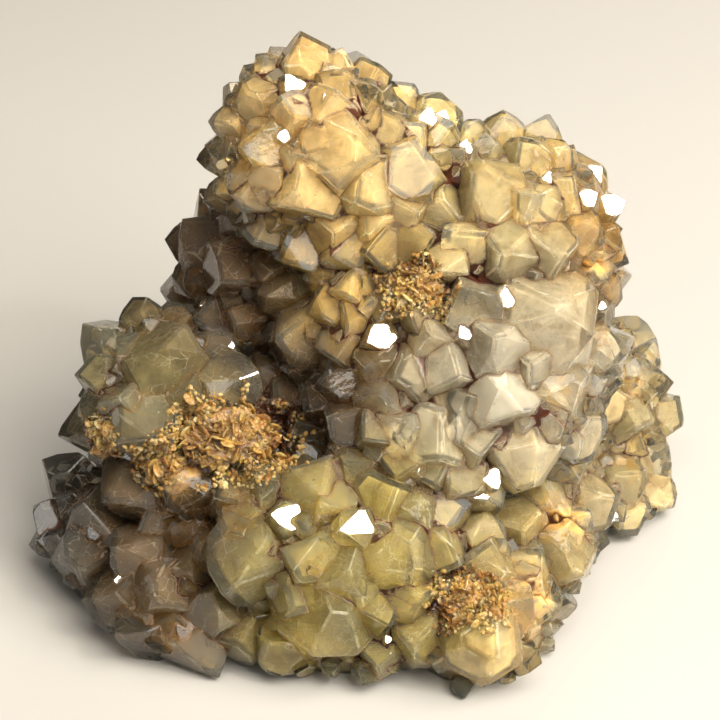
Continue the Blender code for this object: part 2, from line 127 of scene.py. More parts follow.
# where a line comes to a height over the rock, or else the place nearest to it
def walkToSurface(start, direction, height, far):
    travelled, best, bestAt = 0.0, math.inf, 0.0
    while travelled < far:
        gap = float(lobeDistance(np.array(start + direction * travelled))[0]) - height
        if gap < best:
            best, bestAt = gap, travelled
        if gap < walk["touch"]:
            break
        travelled += max(gap * walk["stride"], walk["shortest"])
    return start + direction * bestAt


# the place over the rock that the camera sees at across and up
def seenPoint(across, up, height):
    aim = look["centre"] + viewRight * across + viewUp * up
    direction = (aim - viewpoint).normalized()
    near = viewpoint + direction * (look["distance"] - look["searchFrom"])
    return walkToSurface(near, direction, height, look["searchLength"])


# the crystals that the camera sees: across, up, width over the prism
frontCrystals = {
    "crown": (
        (-8.2, 45.0, 6.8), (-3.4, 44.4, 4.6), (1.5, 42.2, 6.0), (6.3, 39.4, 5.0),
        (-16.2, 39.5, 5.8), (-19.5, 35.5, 5.4), (-20.8, 30.2, 5.8), (-1.4, 31.6, 9.2),
        (0.9, 25.0, 7.8), (-8.6, 24.8, 7.4), (-9.0, 29.8, 5.2), (-4.5, 37.6, 6.2),
        (-10.0, 36.2, 5.6), (-14.9, 32.0, 6.2), (-16.4, 25.6, 5.6), (-20.7, 24.7, 5.0),
        (-10.4, 40.8, 5.6), (4.6, 34.6, 5.6), (-14.0, 43.6, 4.6), (-12.6, 26.6, 4.6),
        (-3.0, 41.0, 5.2), (-5.8, 33.0, 4.8),
    ),
    "rightShoulder": (
        (9.0, 28.0, 7.6), (7.4, 33.2, 5.8), (11.6, 33.4, 5.8), (12.0, 37.2, 6.0),
        (12.0, 23.0, 6.4), (7.2, 22.6, 6.0), (18.3, 26.4, 8.8), (15.8, 18.2, 7.2),
        (21.3, 16.6, 8.4), (25.2, 23.0, 7.0), (28.4, 15.8, 7.2), (16.6, 33.6, 5.8),
        (21.2, 34.6, 5.8), (24.6, 30.6, 5.6), (29.0, 30.4, 5.4), (34.0, 27.4, 6.4),
        (30.0, 25.0, 6.0), (37.4, 23.0, 6.0), (37.6, 16.6, 6.0), (33.4, 19.6, 5.6),
        (37.0, 10.8, 5.4), (8.6, 17.6, 5.8), (12.2, 14.4, 5.6),
    ),
    "upperMiddle": (
        (-14.0, 19.4, 6.2), (-9.4, 16.6, 6.6), (-4.0, 19.8, 5.8), (-1.2, 16.0, 5.8),
        (-13.8, 13.8, 5.4), (-12.6, 9.6, 6.2), (-6.2, 12.6, 5.2), (-5.4, 7.6, 5.6),
        (-1.8, 10.6, 5.8), (3.0, 16.6, 5.8), (2.4, 20.8, 5.2), (2.6, 3.4, 6.8),
        (-9.0, 3.4, 8.4), (-3.0, 1.4, 5.4), (-0.8, 6.6, 5.2), (4.4, 8.0, 5.2),
    ),
    "recess": (
        (-23.6, 18.0, 7.6), (-19.4, 13.2, 6.8), (-25.4, 11.8, 6.0), (-22.0, 6.4, 5.8),
        (-17.4, 5.6, 5.8), (-26.2, 17.6, 5.4), (-14.4, -2.2, 5.8), (-18.4, 20.4, 5.6),
    ),
    "rightWall": (
        (30.2, 6.4, 13.2), (17.0, 9.2, 7.4), (19.8, 2.4, 8.6), (21.6, -5.6, 9.2),
        (30.2, -4.6, 8.2), (25.6, -0.4, 5.8), (33.6, -11.6, 7.2), (27.8, -9.8, 6.2),
        (24.2, -15.6, 9.0), (31.2, -16.4, 6.8), (35.0, -21.0, 6.8), (10.6, 3.0, 6.4),
        (13.6, -2.0, 6.8), (8.6, 6.6, 5.6), (11.2, -12.4, 7.4), (14.6, -7.6, 6.8),
        (18.8, -19.4, 7.2), (18.0, -25.2, 7.0), (23.2, -25.4, 7.6), (18.6, -30.2, 6.8),
        (22.0, 9.4, 5.0), (15.4, 3.8, 4.8), (36.4, 1.4, 6.0), (36.6, -5.6, 6.0),
        (17.2, -12.8, 6.0), (27.6, -21.6, 6.2),
    ),
    "farRight": (
        (41.0, 3.0, 6.0), (43.4, -3.4, 6.4), (45.2, -8.0, 7.0), (43.6, -14.2, 7.2),
        (40.4, -9.2, 6.2), (44.2, -20.2, 6.6), (40.0, -17.6, 6.0), (40.6, -23.4, 6.2),
    ),
    "middle": (
        (-2.4, -9.0, 6.2), (2.0, -10.8, 5.6), (6.0, -10.8, 6.4), (-11.0, -6.4, 6.6),
        (-8.6, -11.0, 6.4), (3.4, -5.8, 6.0), (-3.8, -3.4, 5.6), (7.2, -2.2, 6.4),
        (2.0, -0.8, 5.8), (6.4, -15.8, 5.8), (10.4, -17.0, 5.6), (14.2, -18.6, 6.2),
        (-6.6, -6.8, 5.2),
    ),
    "leftLobe": (
        (-27.2, 5.8, 6.6), (-28.4, 0.6, 9.8), (-38.2, 2.2, 7.6), (-39.0, -3.2, 6.2),
        (-34.8, -6.0, 6.6), (-31.0, -10.2, 8.2), (-19.0, -3.8, 9.0), (-39.2, -7.6, 6.2),
        (-32.8, 6.0, 6.4), (-25.0, -4.8, 6.2), (-34.2, 0.2, 6.2), (-21.0, 2.0, 6.0),
    ),
    "leftLow": (
        (-34.4, -19.4, 9.6), (-25.8, -19.6, 8.4), (-19.6, -19.8, 7.2), (-31.0, -25.2, 6.2),
        (-25.2, -25.2, 6.2), (-18.8, -25.0, 6.6), (-14.4, -18.2, 6.0),
    ),
    "leftFoot": (
        (-44.6, -17.6, 7.2), (-45.8, -23.6, 7.2), (-43.0, -29.0, 7.2), (-39.6, -23.0, 7.4),
    ),
    "frontLeftFoot": (
        (-34.4, -29.2, 8.2), (-37.4, -35.6, 7.4), (-29.8, -35.2, 7.4), (-33.0, -40.0, 7.8),
        (-28.2, -41.4, 5.8), (-23.4, -43.2, 8.0), (-23.2, -28.8, 6.8), (-26.4, -31.4, 6.2),
        (-22.0, -36.6, 7.0),
    ),
    "frontCluster": (
        (-17.4, -31.4, 10.6), (-11.2, -23.8, 7.8), (-1.0, -25.2, 8.8), (-6.8, -18.4, 8.6),
        (-0.6, -16.2, 6.2), (-4.6, -21.8, 6.0), (4.2, -20.6, 6.8), (8.2, -22.8, 6.0),
        (5.6, -29.4, 9.0), (7.6, -35.2, 6.8), (-2.4, -32.2, 7.2), (-4.0, -39.8, 10.8),
        (-9.4, -35.6, 6.6), (2.6, -38.0, 6.6), (12.2, -28.8, 6.6), (13.6, -34.6, 5.8),
        (13.2, -23.0, 7.0), (2.6, -44.4, 5.4), (-8.4, -29.4, 6.2), (-12.6, -42.4, 6.0),
        (-18.0, -41.4, 6.6), (8.4, -41.4, 7.2),
    ),
    "frontRight": (
        (18.0, -41.8, 9.0), (23.2, -36.8, 6.8), (30.6, -30.6, 7.8), (29.0, -36.0, 6.0),
        (25.4, -31.4, 6.4),
    ),
}

# the crystals above that catch the key light, by their across and up
glinting = {
    (-10.4, 40.8), (34.0, 27.4), (37.4, 23.0), (22.0, 9.4), (2.6, 3.4), (-11.2, -23.8), (-1.0, -25.2),
}

# small crystals that also mirror it: across, up, width
sparks = (
    (-11.7, 33.4, 2.4), (-5.2, 38.4, 2.6), (-18.0, 39.3, 1.6), (12.0, 36.0, 3.0), (15.5, 31.6, 2.6),
    (27.8, 27.0, 2.4), (15.5, 4.0, 3.0), (19.5, -18.0, 3.6), (3.0, -6.9, 1.8), (-23.5, 8.2, 1.6),
    (-19.5, 2.2, 1.5), (-17.6, -11.1, 1.4), (-9.3, -33.0, 1.7), (4.0, -42.0, 1.6), (9.8, -35.7, 1.8),
    (36.0, 8.0, 1.6), (-31.0, 1.2, 1.5), (-36.4, -33.2, 1.5), (9.6, 36.0, 3.4), (21.4, 9.0, 3.4),
    (33.6, 24.0, 3.4), (36.9, 23.0, 4.0),
)
sparkRise = 1.1  # above the head of the crystal beside it
sparkTone = 0.8

# a stubby quartz point: six faces round the prism and six on the head, every other one small
crystalForm = {
    "pointSlope": math.radians(51.8),
    "prismTaper": math.radians(7.0),
    "wide": 7.6,
    "smallFacesWide": (0.08, 0.30),
    "smallFacesNarrow": (0.20, 0.58),
    "headRise": 0.08,
    "rootDepth": 4.0,
    "faceSpread": 0.10,
    "pointSpread": 0.12,
    "leanSpread": 0.26,
    "edgeWidth": 0.024,  # of the crystal's width, worn off each edge
    "widen": 1.36,  # for the crystals that face the camera
    "widenFacing": 0.45,
    "widenEdge": 1.18,  # for those seen from their side
    "bluntShare": 0.55,  # of the crystals have their top cut short by a last flat face
    "bluntAt": (0.62, 0.88),
    "bluntTilt": 0.16,
    "heartDepth": 0.18,  # how far the cloudy heart lies in from the faces, and this share of the width more
    "heartShare": (0.19, 0.05),
    "clearShare": 0.20,  # of the crystals have no heart
    "cloudDraw": 13.0,  # spreads the tone to a second draw, which sets the heart
    "heartEdge": 0.03,
    "heartFrom": 3.0,  # the least width with a heart
    "glintShare": 0.72,  # the glinting crystals keep this share of their width
    "companionFrom": 6.4,
    "companions": (0, 3),
    "companionShare": (0.40, 0.62),
    "companionReach": (0.28, 0.46),
    "companionDrop": (0.02, 0.16),
    "companionTone": 0.1,
    "seed": 20,
}

# the rule that plants the sides and the back, which the camera doesn't see
backGrowth = {
    "centre": Vector((2.0, 12.0, 30.0)),
    "reach": 90.0,
    "tries": 900,
    "widths": (6.0, 12.0),
    "widthSpread": (0.75, 1.0),
    "widening": 1.6,
    "widensFrom": 0.1,
    "spacing": 0.95,
    "rise": 0.6,
    "lowest": 5.0,
    "facingLimit": 0.0,
    "undersideLimit": -0.5,
}

smallGrowth = {
    "spacing": 2.7,
    "smallest": 2.0,
    "largest": 4.8,
    "lean": 0.5,
    "kinds": 14,
    "root": 0.55,  # below a small crystal's shoulder, for unit width
    "rise": 0.30,
    "densest": 2.0e6,  # a square metre, before the spacing thins them
    "lowest": 2.5,
    "clearance": 0.36,  # of a big crystal's width, kept free round its middle
    "seed": 7,
}

rock = {
    "voxel": 1.3,
    "softening": 6,
    "smoothFactor": 0.5,
    "share": 0.22,  # of its faces that are kept
    "coreDepth": 1.5,  # from the crystals' roots down to the cloudy rock inside
    "coreVoxel": 0.9,
    "coreBase": 0.6,  # the height of its flat underside
}


# planes closer to parallel than this don't cross, and corners closer than this are one
parallel, touching = 1e-6, 1e-4


# corners and faces of the convex solid inside the planes normal . p = offset
def convexSolid(normals, offsets):
    normals, offsets = np.array(normals), np.array(offsets)
    triples = np.array(list(combinations(range(len(normals)), 3)))
    systems = normals[triples]
    crossing = np.abs(np.linalg.det(systems)) > parallel
    triples, systems = triples[crossing], systems[crossing]
    corners = np.linalg.solve(systems, offsets[triples][..., None])[..., 0]
    inside = (corners @ normals.T <= offsets + parallel).all(axis=1)
    kept = []
    for corner in corners[inside]:
        if all(np.linalg.norm(corner - other) > touching for other in kept):
            kept.append(corner)
    kept = np.array(kept)
    faces = []
    for normal, offset in zip(normals, offsets):
        ring = np.where(np.abs(kept @ normal - offset) < touching)[0]
        if len(ring) < 3:
            continue
        middle = kept[ring].mean(axis=0)
        side = kept[ring[0]] - middle
        side /= np.linalg.norm(side)
        turned = np.cross(normal, side)
        spokes = kept[ring] - middle
        order = np.argsort(np.arctan2(spokes @ turned, spokes @ side))
        faces.append([int(index) for index in ring[order]])
    return kept, faces


# the planes of a quartz point that stands on z = 0 at its shoulder, its root below
def quartzPlanes(width, root, rng):
    form = crystalForm
    apothem = width / 2.0
    taper, slope = form["prismTaper"], form["pointSlope"]
    rise = apothem * math.tan(slope)
    smallFaces = form["smallFacesWide"] if width > form["wide"] else form["smallFacesNarrow"]
    normals, offsets = [(0.0, 0.0, -1.0)], [root]
    for side in range(6):
        angle = math.radians(60.0 * side)
        outX, outY = math.cos(angle), math.sin(angle)
        reach = apothem * (1.0 + rng.uniform(-form["faceSpread"], form["faceSpread"]))
        normals.append((outX * math.cos(taper), outY * math.cos(taper), -math.sin(taper)))
        offsets.append(reach * math.cos(taper))
        smallFace = rng.uniform(*smallFaces)
        raised = smallFace if side % 2 else rng.uniform(-form["pointSpread"], form["pointSpread"])
        normals.append((outX * math.sin(slope), outY * math.sin(slope), math.cos(slope)))
        offsets.append(rise * (1.0 + raised) * math.cos(slope))
    return normals, offsets


def frameAlong(axis, spin, origin):
    turn = axis.to_track_quat("Z", "Y").to_matrix() @ Matrix.Rotation(spin, 3, "Z")
    return Matrix.Translation(origin) @ turn.to_4x4()


def newObject(name, mesh, collection=None):
    thing = bpy.data.objects.new(name, mesh)
    (collection or bpy.context.scene.collection).objects.link(thing)
    return thing


def newCollection(name):
    collection = bpy.data.collections.new(name)
    bpy.context.scene.collection.children.link(collection)
    return collection


def meshOf(shape, name):
    mesh = bpy.data.meshes.new(name)
    shape.to_mesh(mesh)
    shape.free()
    return mesh


def keepValues(mesh, name, values):
    values = np.asarray(values, np.float32)
    mesh.attributes.new(name, "FLOAT", "POINT").data.foreach_set("value", values)


# a closed shape with room for the named values of its faces
def solidShape(corners, faces, layers):
    shape = bmesh.new()
    made = [shape.faces.layers.float.new(layer) for layer in layers]
    points = [shape.verts.new(corner) for corner in corners]
    for face in faces:
        shape.faces.new([points[index] for index in face])
    return shape, made


def removeCollection(collection):
    for thing in list(collection.objects):
        bpy.data.objects.remove(thing, do_unlink=True)
    bpy.data.collections.remove(collection)


# a closed crystal with every edge a little worn, as a mesh with one tone on all its faces
def crystalMesh(name, corners, faces, edge, place, tone):
    shape, (toneLayer, wornLayer) = solidShape(corners, faces, ("tone", "worn"))
    made = bmesh.ops.bevel(shape, geom=shape.edges[:], offset=edge, segments=1, affect="EDGES",
                           clamp_overlap=True)
    for face in made["faces"]:
        face[wornLayer] = 1.0
    for face in shape.faces:
        face[toneLayer] = tone
    bmesh.ops.triangulate(shape, faces=shape.faces)
    bmesh.ops.transform(shape, matrix=place, verts=shape.verts)
    return meshOf(shape, name)


# turns a crystal so that one face of its head mirrors the key light to the camera
def glintFrame(shoulder):
    toCamera = (viewpoint - shoulder).normalized()
    toKey = (keyPlace / mm - shoulder).normalized()
    mirror = (toCamera + toKey).normalized()
    out = outward(shoulder)
    aside = (out - mirror * out.dot(mirror)).normalized()
    slope = crystalForm["pointSlope"]
    axis = mirror * math.cos(slope) + aside * math.sin(slope)
    side = (mirror - axis * math.cos(slope)) / math.sin(slope)
    turn = Matrix((side, axis.cross(side), axis)).transposed()
    return Matrix.Translation(shoulder) @ turn.to_4x4()


# one crystal, with its cloudy heart if it has one
def plantOne(name, width, normals, offsets, frameOf, tone, collection, hearts):
    form = crystalForm
    place = Matrix.Scale(mm, 4) @ frameOf
    corners, faces = convexSolid(normals, offsets)
    newObject(name, crystalMesh(name, corners, faces, width * form["edgeWidth"], place, tone), collection)
    # some crystals are clear to the root, others cloudy almost up to their faces
    cloudy = (tone * form["cloudDraw"]) % 1.0
    if width < form["heartFrom"] or cloudy < form["clearShare"]:
        return
    deep, shallow = form["heartShare"]
    inset = form["heartDepth"] + width * (deep + (shallow - deep) * cloudy)
    corners, faces = convexSolid(normals, [offset - inset for offset in offsets])
    mesh = crystalMesh(name + " heart", corners, faces, width * form["heartEdge"], place, tone)
    newObject(name + " heart", mesh, hearts)


# a crystal with its shoulder at a place over the rock, and the smaller ones on its flanks
def addCrystal(width, shoulder, rng, extraRng, collection, hearts, glint=False):
    form = crystalForm
    lean = Vector(rng.normal(0.0, form["leanSpread"], 3))
    axis = (outward(shoulder) + lean).normalized()
    above = max(float(lobeDistance(np.array(shoulder))[0]), 0.0)
    normals, offsets = quartzPlanes(width, above + form["rootDepth"], rng)
    frameOf = frameAlong(axis, rng.uniform(0.0, math.tau), shoulder)
    facing = outward(shoulder).dot((viewpoint - shoulder).normalized())
    if glint:
        frameOf = glintFrame(shoulder)
        offsets = [offset * form["glintShare"] for offset in offsets]
    elif facing > 0.0:
        # wider, and sunk so that the top stays where it was
        widen = form["widen"] if facing > form["widenFacing"] else form["widenEdge"]
        top = max(corner[2] for corner in convexSolid(normals, offsets)[0])
        offsets = [offset * widen for offset in offsets]
        frameOf = frameOf @ Matrix.Translation((0.0, 0.0, -top * (widen - 1.0)))
        if extraRng.uniform(0.0, 1.0) < form["bluntShare"]:
            tilt = extraRng.normal(0.0, form["bluntTilt"], 2)
            normals.append(tuple(Vector((tilt[0], tilt[1], 1.0)).normalized()))
            offsets.append(top * widen * extraRng.uniform(*form["bluntAt"]))
    tone = extraRng.uniform(0.0, 1.0)
    plantOne("crystal", width, normals, offsets, frameOf, tone, collection, hearts)
    if glint or width < form["companionFrom"]:
        return
    # the smaller ones stand in the same attitude
    for _ in range(extraRng.integers(*form["companions"])):
        share = extraRng.uniform(*form["companionShare"])
        angle = extraRng.uniform(0.0, math.tau)
        reach = width * extraRng.uniform(*form["companionReach"])
        drop = -width * extraRng.uniform(*form["companionDrop"])
        normals, offsets = quartzPlanes(width * share, above + form["rootDepth"], extraRng)
        offset = Matrix.Translation((reach * math.cos(angle), reach * math.sin(angle), drop))
        plantOne("companion", width * share, normals, offsets, frameOf @ offset,
                 min(tone + form["companionTone"], 1.0), collection, hearts)


def plantFront(rng, extraRng, collection, hearts):
    planted = []
    for rows in frontCrystals.values():
        for across, up, width in rows:
            shoulder = seenPoint(across, up, width * crystalForm["headRise"])
            addCrystal(width, shoulder, rng, extraRng, collection, hearts, (across, up) in glinting)
            planted.append((shoulder, width))
    for across, up, width in sparks:
        low = seenPoint(across, up, 0.0)
        besideWidth = min(planted, key=lambda other: (other[0] - low).length - other[1] / 2.0)[1]
        rise = besideWidth * crystalForm["headRise"] + sparkRise
        shoulder = seenPoint(across, up, rise)
        normals, offsets = quartzPlanes(width, rise + crystalForm["rootDepth"], extraRng)
        plantOne("spark", width, normals, offsets, glintFrame(shoulder), sparkTone, collection, hearts)
    return planted


def plantBack(rng, extraRng, collection, hearts, planted):
    rule = backGrowth
    golden = math.pi * (3.0 - math.sqrt(5.0))
    narrow, wide = rule["widths"]
    for index in range(rule["tries"]):
        level = 1.0 - 2.0 * (index + 0.5) / rule["tries"]
        around = math.sqrt(1.0 - level * level)
        direction = Vector((around * math.cos(golden * index), around * math.sin(golden * index), level))
        start = rule["centre"] + direction * rule["reach"]
        shoulder = walkToSurface(start, -direction, rule["rise"], rule["reach"])
        normal = outward(shoulder)
        facing = normal.dot((viewpoint - shoulder).normalized())
        turnedAway = min(max(rule["widensFrom"] - facing, 0.0) * rule["widening"], 1.0)
        width = narrow + (wide - narrow) * turnedAway * rng.uniform(*rule["widthSpread"])
        crowded = any((shoulder - other).length < rule["spacing"] * (width + otherWidth) / 2.0
                      for other, otherWidth in planted)
        low = shoulder.z < rule["lowest"] or normal.z < rule["undersideLimit"]
        if crowded or low or facing > rule["facingLimit"]:
            continue
        addCrystal(width, shoulder, rng, extraRng, collection, hearts)
        planted.append((shoulder, width))


# small crystals of unit width, their shoulders just above the rock at z = 0
def smallKinds(collection):
    rng = np.random.default_rng(smallGrowth["seed"])
    for kind in range(smallGrowth["kinds"]):
        corners, faces = convexSolid(*quartzPlanes(1.0, smallGrowth["root"], rng))
        rise = rng.uniform(0.0, smallGrowth["rise"])
        place = Matrix.Scale(mm, 4) @ Matrix.Translation((0.0, 0.0, rise))
        tone = (kind + 0.5) / smallGrowth["kinds"]
        mesh = crystalMesh("smallKind", corners, faces, crystalForm["edgeWidth"], place, tone)
        newObject("smallKind", mesh, collection)


def evaluatedMesh(thing, name):
    bpy.context.view_layer.update()
    evaluated = thing.evaluated_get(bpy.context.evaluated_depsgraph_get())
    mesh = bpy.data.meshes.new_from_object(evaluated)
    mesh.name = name
    return mesh


# the lobes run together into one closed lump, each of them shrunk by depth
def rockMesh(name, voxel, depth, share):
    shape = bmesh.new()
    for centre, radii in lobes.values():
        made = bmesh.ops.create_icosphere(shape, subdivisions=4, radius=1.0)
        size = Matrix.Diagonal((*(radius - depth for radius in radii), 1.0))
        bmesh.ops.transform(shape, matrix=Matrix.Scale(mm, 4) @ Matrix.Translation(centre) @ size,
                            verts=made["verts"])
    thing = newObject(name, meshOf(shape, name))
    remesh = thing.modifiers.new("remesh", "REMESH")
    remesh.mode = "VOXEL"
    remesh.voxel_size = voxel * mm
    smooth = thing.modifiers.new("smooth", "SMOOTH")
    smooth.factor = rock["smoothFactor"]
    smooth.iterations = rock["softening"]
    if share < 1.0:
        thin = thing.modifiers.new("thin", "DECIMATE")
        thin.ratio = share
    made = evaluatedMesh(thing, name)
    bpy.data.objects.remove(thing, do_unlink=True)
    return made


def meshPoints(mesh):
    points = np.empty(len(mesh.vertices) * 3, np.float32)
    mesh.vertices.foreach_get("co", points)
    return points.reshape(-1, 3).astype(np.float64) / mm


# where small crystals may sprout: clear of the middles of the big ones and of the base
def markRoom(mesh, planted):
    points = meshPoints(mesh)
    room = (points[:, 2] > smallGrowth["lowest"]).astype(np.float32)
    for shoulder, width in planted:
        near = np.linalg.norm(points - np.array(shoulder), axis=1) < width * smallGrowth["clearance"]
        room[near] = 0.0
    keepValues(mesh, "room", room)


# a short way to lay out nodes
class Nodes:
    def __init__(self, tree):
        self.tree = tree

    def give(self, value, socket):
        if isinstance(value, bpy.types.NodeSocket):
            self.tree.links.new(value, socket)
        else:
            socket.default_value = value

    def add(self, kind, inputs=None, **settings):
        node = self.tree.nodes.new(kind)
        for key, value in settings.items():
            setattr(node, key, value)
        for key, value in (inputs or {}).items():
            self.give(value, node.inputs[key])
        return node

    def math(self, kind, first, second=0.0, clamp=False):
        return self.add("ShaderNodeMath", {0: first, 1: second}, operation=kind, use_clamp=clamp).outputs[0]


# a Geometry Nodes tree with named inputs that ends in real geometry with its material
class GrowthNodes(Nodes):
    def __init__(self, name, inputs):
        super().__init__(bpy.data.node_groups.new(name, "GeometryNodeTree"))
        sockets = self.tree.interface
        self.ids = {}
        for label, kind in inputs.items():
            socket = sockets.new_socket(label, in_out="INPUT", socket_type="NodeSocket" + kind)
            self.ids[label] = socket.identifier
        sockets.new_socket("Grown", in_out="OUTPUT", socket_type="NodeSocketGeometry")
        self.given = self.add("NodeGroupInput").outputs
        self.result = self.add("NodeGroupOutput").inputs["Grown"]

    def attribute(self, name):
        return self.add("GeometryNodeInputNamedAttribute", {"Name": name}, data_type="FLOAT").outputs[0]

    def shape(self, name):
        return self.add("GeometryNodeObjectInfo", {"Object": self.given[name]}).outputs["Geometry"]

    def children(self, name):
        given = {"Collection": self.given[name], "Separate Children": True}
        return self.add("GeometryNodeCollectionInfo", given).outputs[0]

    def pointsOn(self, ground, label, densest):
        return self.add("GeometryNodeDistributePointsOnFaces", {
            "Mesh": self.given[ground], "Distance Min": self.given[label + " spacing"],
            "Density Max": densest, "Seed": self.given["Seed"],
        }, distribute_method="POISSON")

    # one of a collection's shapes on each point, with a size of its own and turned once more
    def sprouts(self, points, rotation, kinds, label, turn):
        size = self.add("FunctionNodeRandomValue", {
            2: self.given[label + " smallest"], 3: self.given[label + " largest"], "Seed": self.given["Seed"],
        }, data_type="FLOAT")
        turned = self.add("FunctionNodeRotateRotation", {"Rotation": rotation, "Rotate By": turn},
                          rotation_space="LOCAL")
        return self.add("GeometryNodeInstanceOnPoints", {
            "Points": points, "Instance": self.children(kinds), "Pick Instance": True,
            "Rotation": turned.outputs[0], "Scale": size.outputs[1],
        }).outputs[0]

    def union(self, *parts):
        fuse = self.add("GeometryNodeMeshBoolean", operation="UNION", solver="MANIFOLD")
        for part in parts:
            self.give(part, fuse.inputs["Mesh 2"])
        return fuse.outputs["Mesh"]

    def finish(self, mesh):
        real = self.add("GeometryNodeRealizeInstances", {0: mesh})
        done = self.add("GeometryNodeSetMaterial", {
            "Geometry": real.outputs[0], "Material": self.given["Material"],
        })
        self.give(done.outputs[0], self.result)
        return self

    # the mesh that grows on an object, which takes it over
    def growOn(self, thing, name, settings):
        grow = thing.modifiers.new("grow", "NODES")
        grow.node_group = self.tree
        for key, value in settings.items():
            grow[self.ids[key]] = value
        grown = evaluatedMesh(thing, name)
        thing.modifiers.remove(grow)
        thing.data = grown
        grown.materials.clear()
        grown.materials.append(settings["Material"])
        return grown


# the rock with the big crystals and a scatter of small ones, all run together, cut flat below
def druseNodes():
    n = GrowthNodes("growDruse", {
        "Rock": "Geometry", "Big crystals": "Collection", "Small crystals": "Collection",
        "Cut below": "Object", "Crystal spacing": "Float", "Crystal smallest": "Float",
        "Crystal largest": "Float", "Lean": "Float", "Seed": "Int", "Material": "Material",
    })
    points = n.pointsOn("Rock", "Crystal", smallGrowth["densest"])
    n.give(n.attribute("room"), points.inputs["Density Factor"])
    lean = n.given["Lean"]
    against = n.math("MULTIPLY", lean, -1.0)
    least = n.add("ShaderNodeCombineXYZ", {"X": against, "Y": against, "Z": -math.pi})
    most = n.add("ShaderNodeCombineXYZ", {"X": lean, "Y": lean, "Z": math.pi})
    turn = n.add("FunctionNodeRandomValue", {
        "Min": least.outputs[0], "Max": most.outputs[0], "Seed": n.given["Seed"],
    }, data_type="FLOAT_VECTOR")
    small = n.sprouts(points.outputs["Points"], points.outputs["Rotation"], "Small crystals", "Crystal",
                      turn.outputs["Value"])
    fused = n.union(small, n.children("Big crystals"), n.given["Rock"])
    cut = n.add("GeometryNodeMeshBoolean", {"Mesh 1": fused, "Mesh 2": n.shape("Cut below")},
                operation="DIFFERENCE", solver="MANIFOLD")
    return n.finish(cut.outputs["Mesh"])


blockReach = 0.16  # metres to each side and down


# a block under everything, with its top at the given height
def blockBelow(top):
    sides = (-blockReach, blockReach)
    corners = [(x, y, z) for x in sides for y in sides for z in (-blockReach, top * mm)]
    faces = [(0, 1, 3, 2), (4, 6, 7, 5), (0, 4, 5, 1), (2, 3, 7, 6), (0, 2, 6, 4), (1, 5, 7, 3)]
    mesh = bpy.data.meshes.new("blockBelow")
    mesh.from_pydata(corners, [], faces)
    return newObject("blockBelow", mesh)


# creases between crystals, where the mesh is made finer so that dirt can follow them
creases = {
    "angle": math.radians(14.0),
    "near": 0.5,
    "fine": 1.5,
    "rounds": 2,
    "sample": 0.25,  # the step between the places that are kept along a crease
    "widest": 3.0,
}


# places along all the creases, to be searched
def creaseTree(shape):
    samples = []
    for edge in shape.edges:
        if len(edge.link_faces) != 2 or edge.calc_face_angle_signed() > -creases["angle"]:
            continue
        start, end = (vertex.co / mm for vertex in edge.verts)
        count = max(int((end - start).length / creases["sample"]), 1)
        samples.extend(start.lerp(end, step / count) for step in range(count + 1))
    tree = kdtree.KDTree(len(samples))
    for index, sample in enumerate(samples):
        tree.insert(sample, index)
    tree.balance()
    return tree


# halves the edges that touch a crease until they are fine, then keeps each point's distance to it
def markCreases(mesh):
    shape = bmesh.new()
    shape.from_mesh(mesh)
    tree = creaseTree(shape)
    distance = {vertex: tree.find(vertex.co / mm)[2] for vertex in shape.verts}
    for _ in range(creases["rounds"]):
        chosen = [edge for edge in shape.edges
                  if edge.calc_length() > creases["fine"] * mm
                  and min(distance[edge.verts[0]], distance[edge.verts[1]]) < creases["near"]]
        bmesh.ops.subdivide_edges(shape, edges=chosen, cuts=1)
        bmesh.ops.triangulate(shape, faces=[face for face in shape.faces if len(face.verts) > 3])
        for vertex in shape.verts:
            if vertex not in distance:
                distance[vertex] = tree.find(vertex.co / mm)[2]
    values = [min(distance[vertex], creases["widest"]) for vertex in shape.verts]
    shape.to_mesh(mesh)
    shape.free()
    keepValues(mesh, "joint", values)


# colour as seen on a screen, 0 to 255, to the linear values that the shaders take
def seen(red, green, blue):
    return tuple((value / 255.0) ** 2.2 for value in (red, green, blue))


paleQuartz = seen(226, 216, 188)

# body colours over the druse, with painted light and shade in them: lighter where the crown and right side
# are lit, darker in the recess, the middle and the lower left; across, up, reach, colour
colourAndShadeZones = {
    "crown": (-9.0, 33.0, 13.0, seen(250, 224, 166)),
    "rightShoulder": (14.0, 27.0, 12.0, seen(238, 222, 170)),
    "rightEdge": (36.0, 19.0, 8.0, seen(211, 177, 106)),
    "recess": (-20.0, 12.0, 10.0, seen(126, 88, 43)),
    "recessLow": (-14.0, 4.0, 7.0, seen(118, 84, 42)),
    "upperMiddle": (-2.0, 12.0, 9.0, seen(225, 200, 131)),
    "middleShade": (-5.0, -6.0, 7.0, seen(98, 62, 20)),
    "leftLobe": (-31.0, 0.0, 11.0, seen(156, 148, 108)),
    "leftFoot": (-44.0, -22.0, 8.0, seen(44, 22, 8)),
    "leftLow": (-28.0, -22.0, 9.0, seen(132, 97, 38)),
    "frontCluster": (-2.0, -32.0, 13.0, seen(194, 182, 112)),
    "frontLeft": (-30.0, -36.0, 8.0, seen(118, 92, 42)),
    "rightWall": (22.0, -2.0, 12.0, seen(222, 216, 200)),
    "rightLow": (18.0, -22.0, 9.0, seen(206, 194, 146)),
    "farRight": (43.0, -12.0, 9.0, seen(234, 220, 176)),
    "frontRight": (24.0, -36.0, 9.0, seen(230, 212, 160)),
}
restOfDruse = 0.02  # how much the pale colour counts against the zones

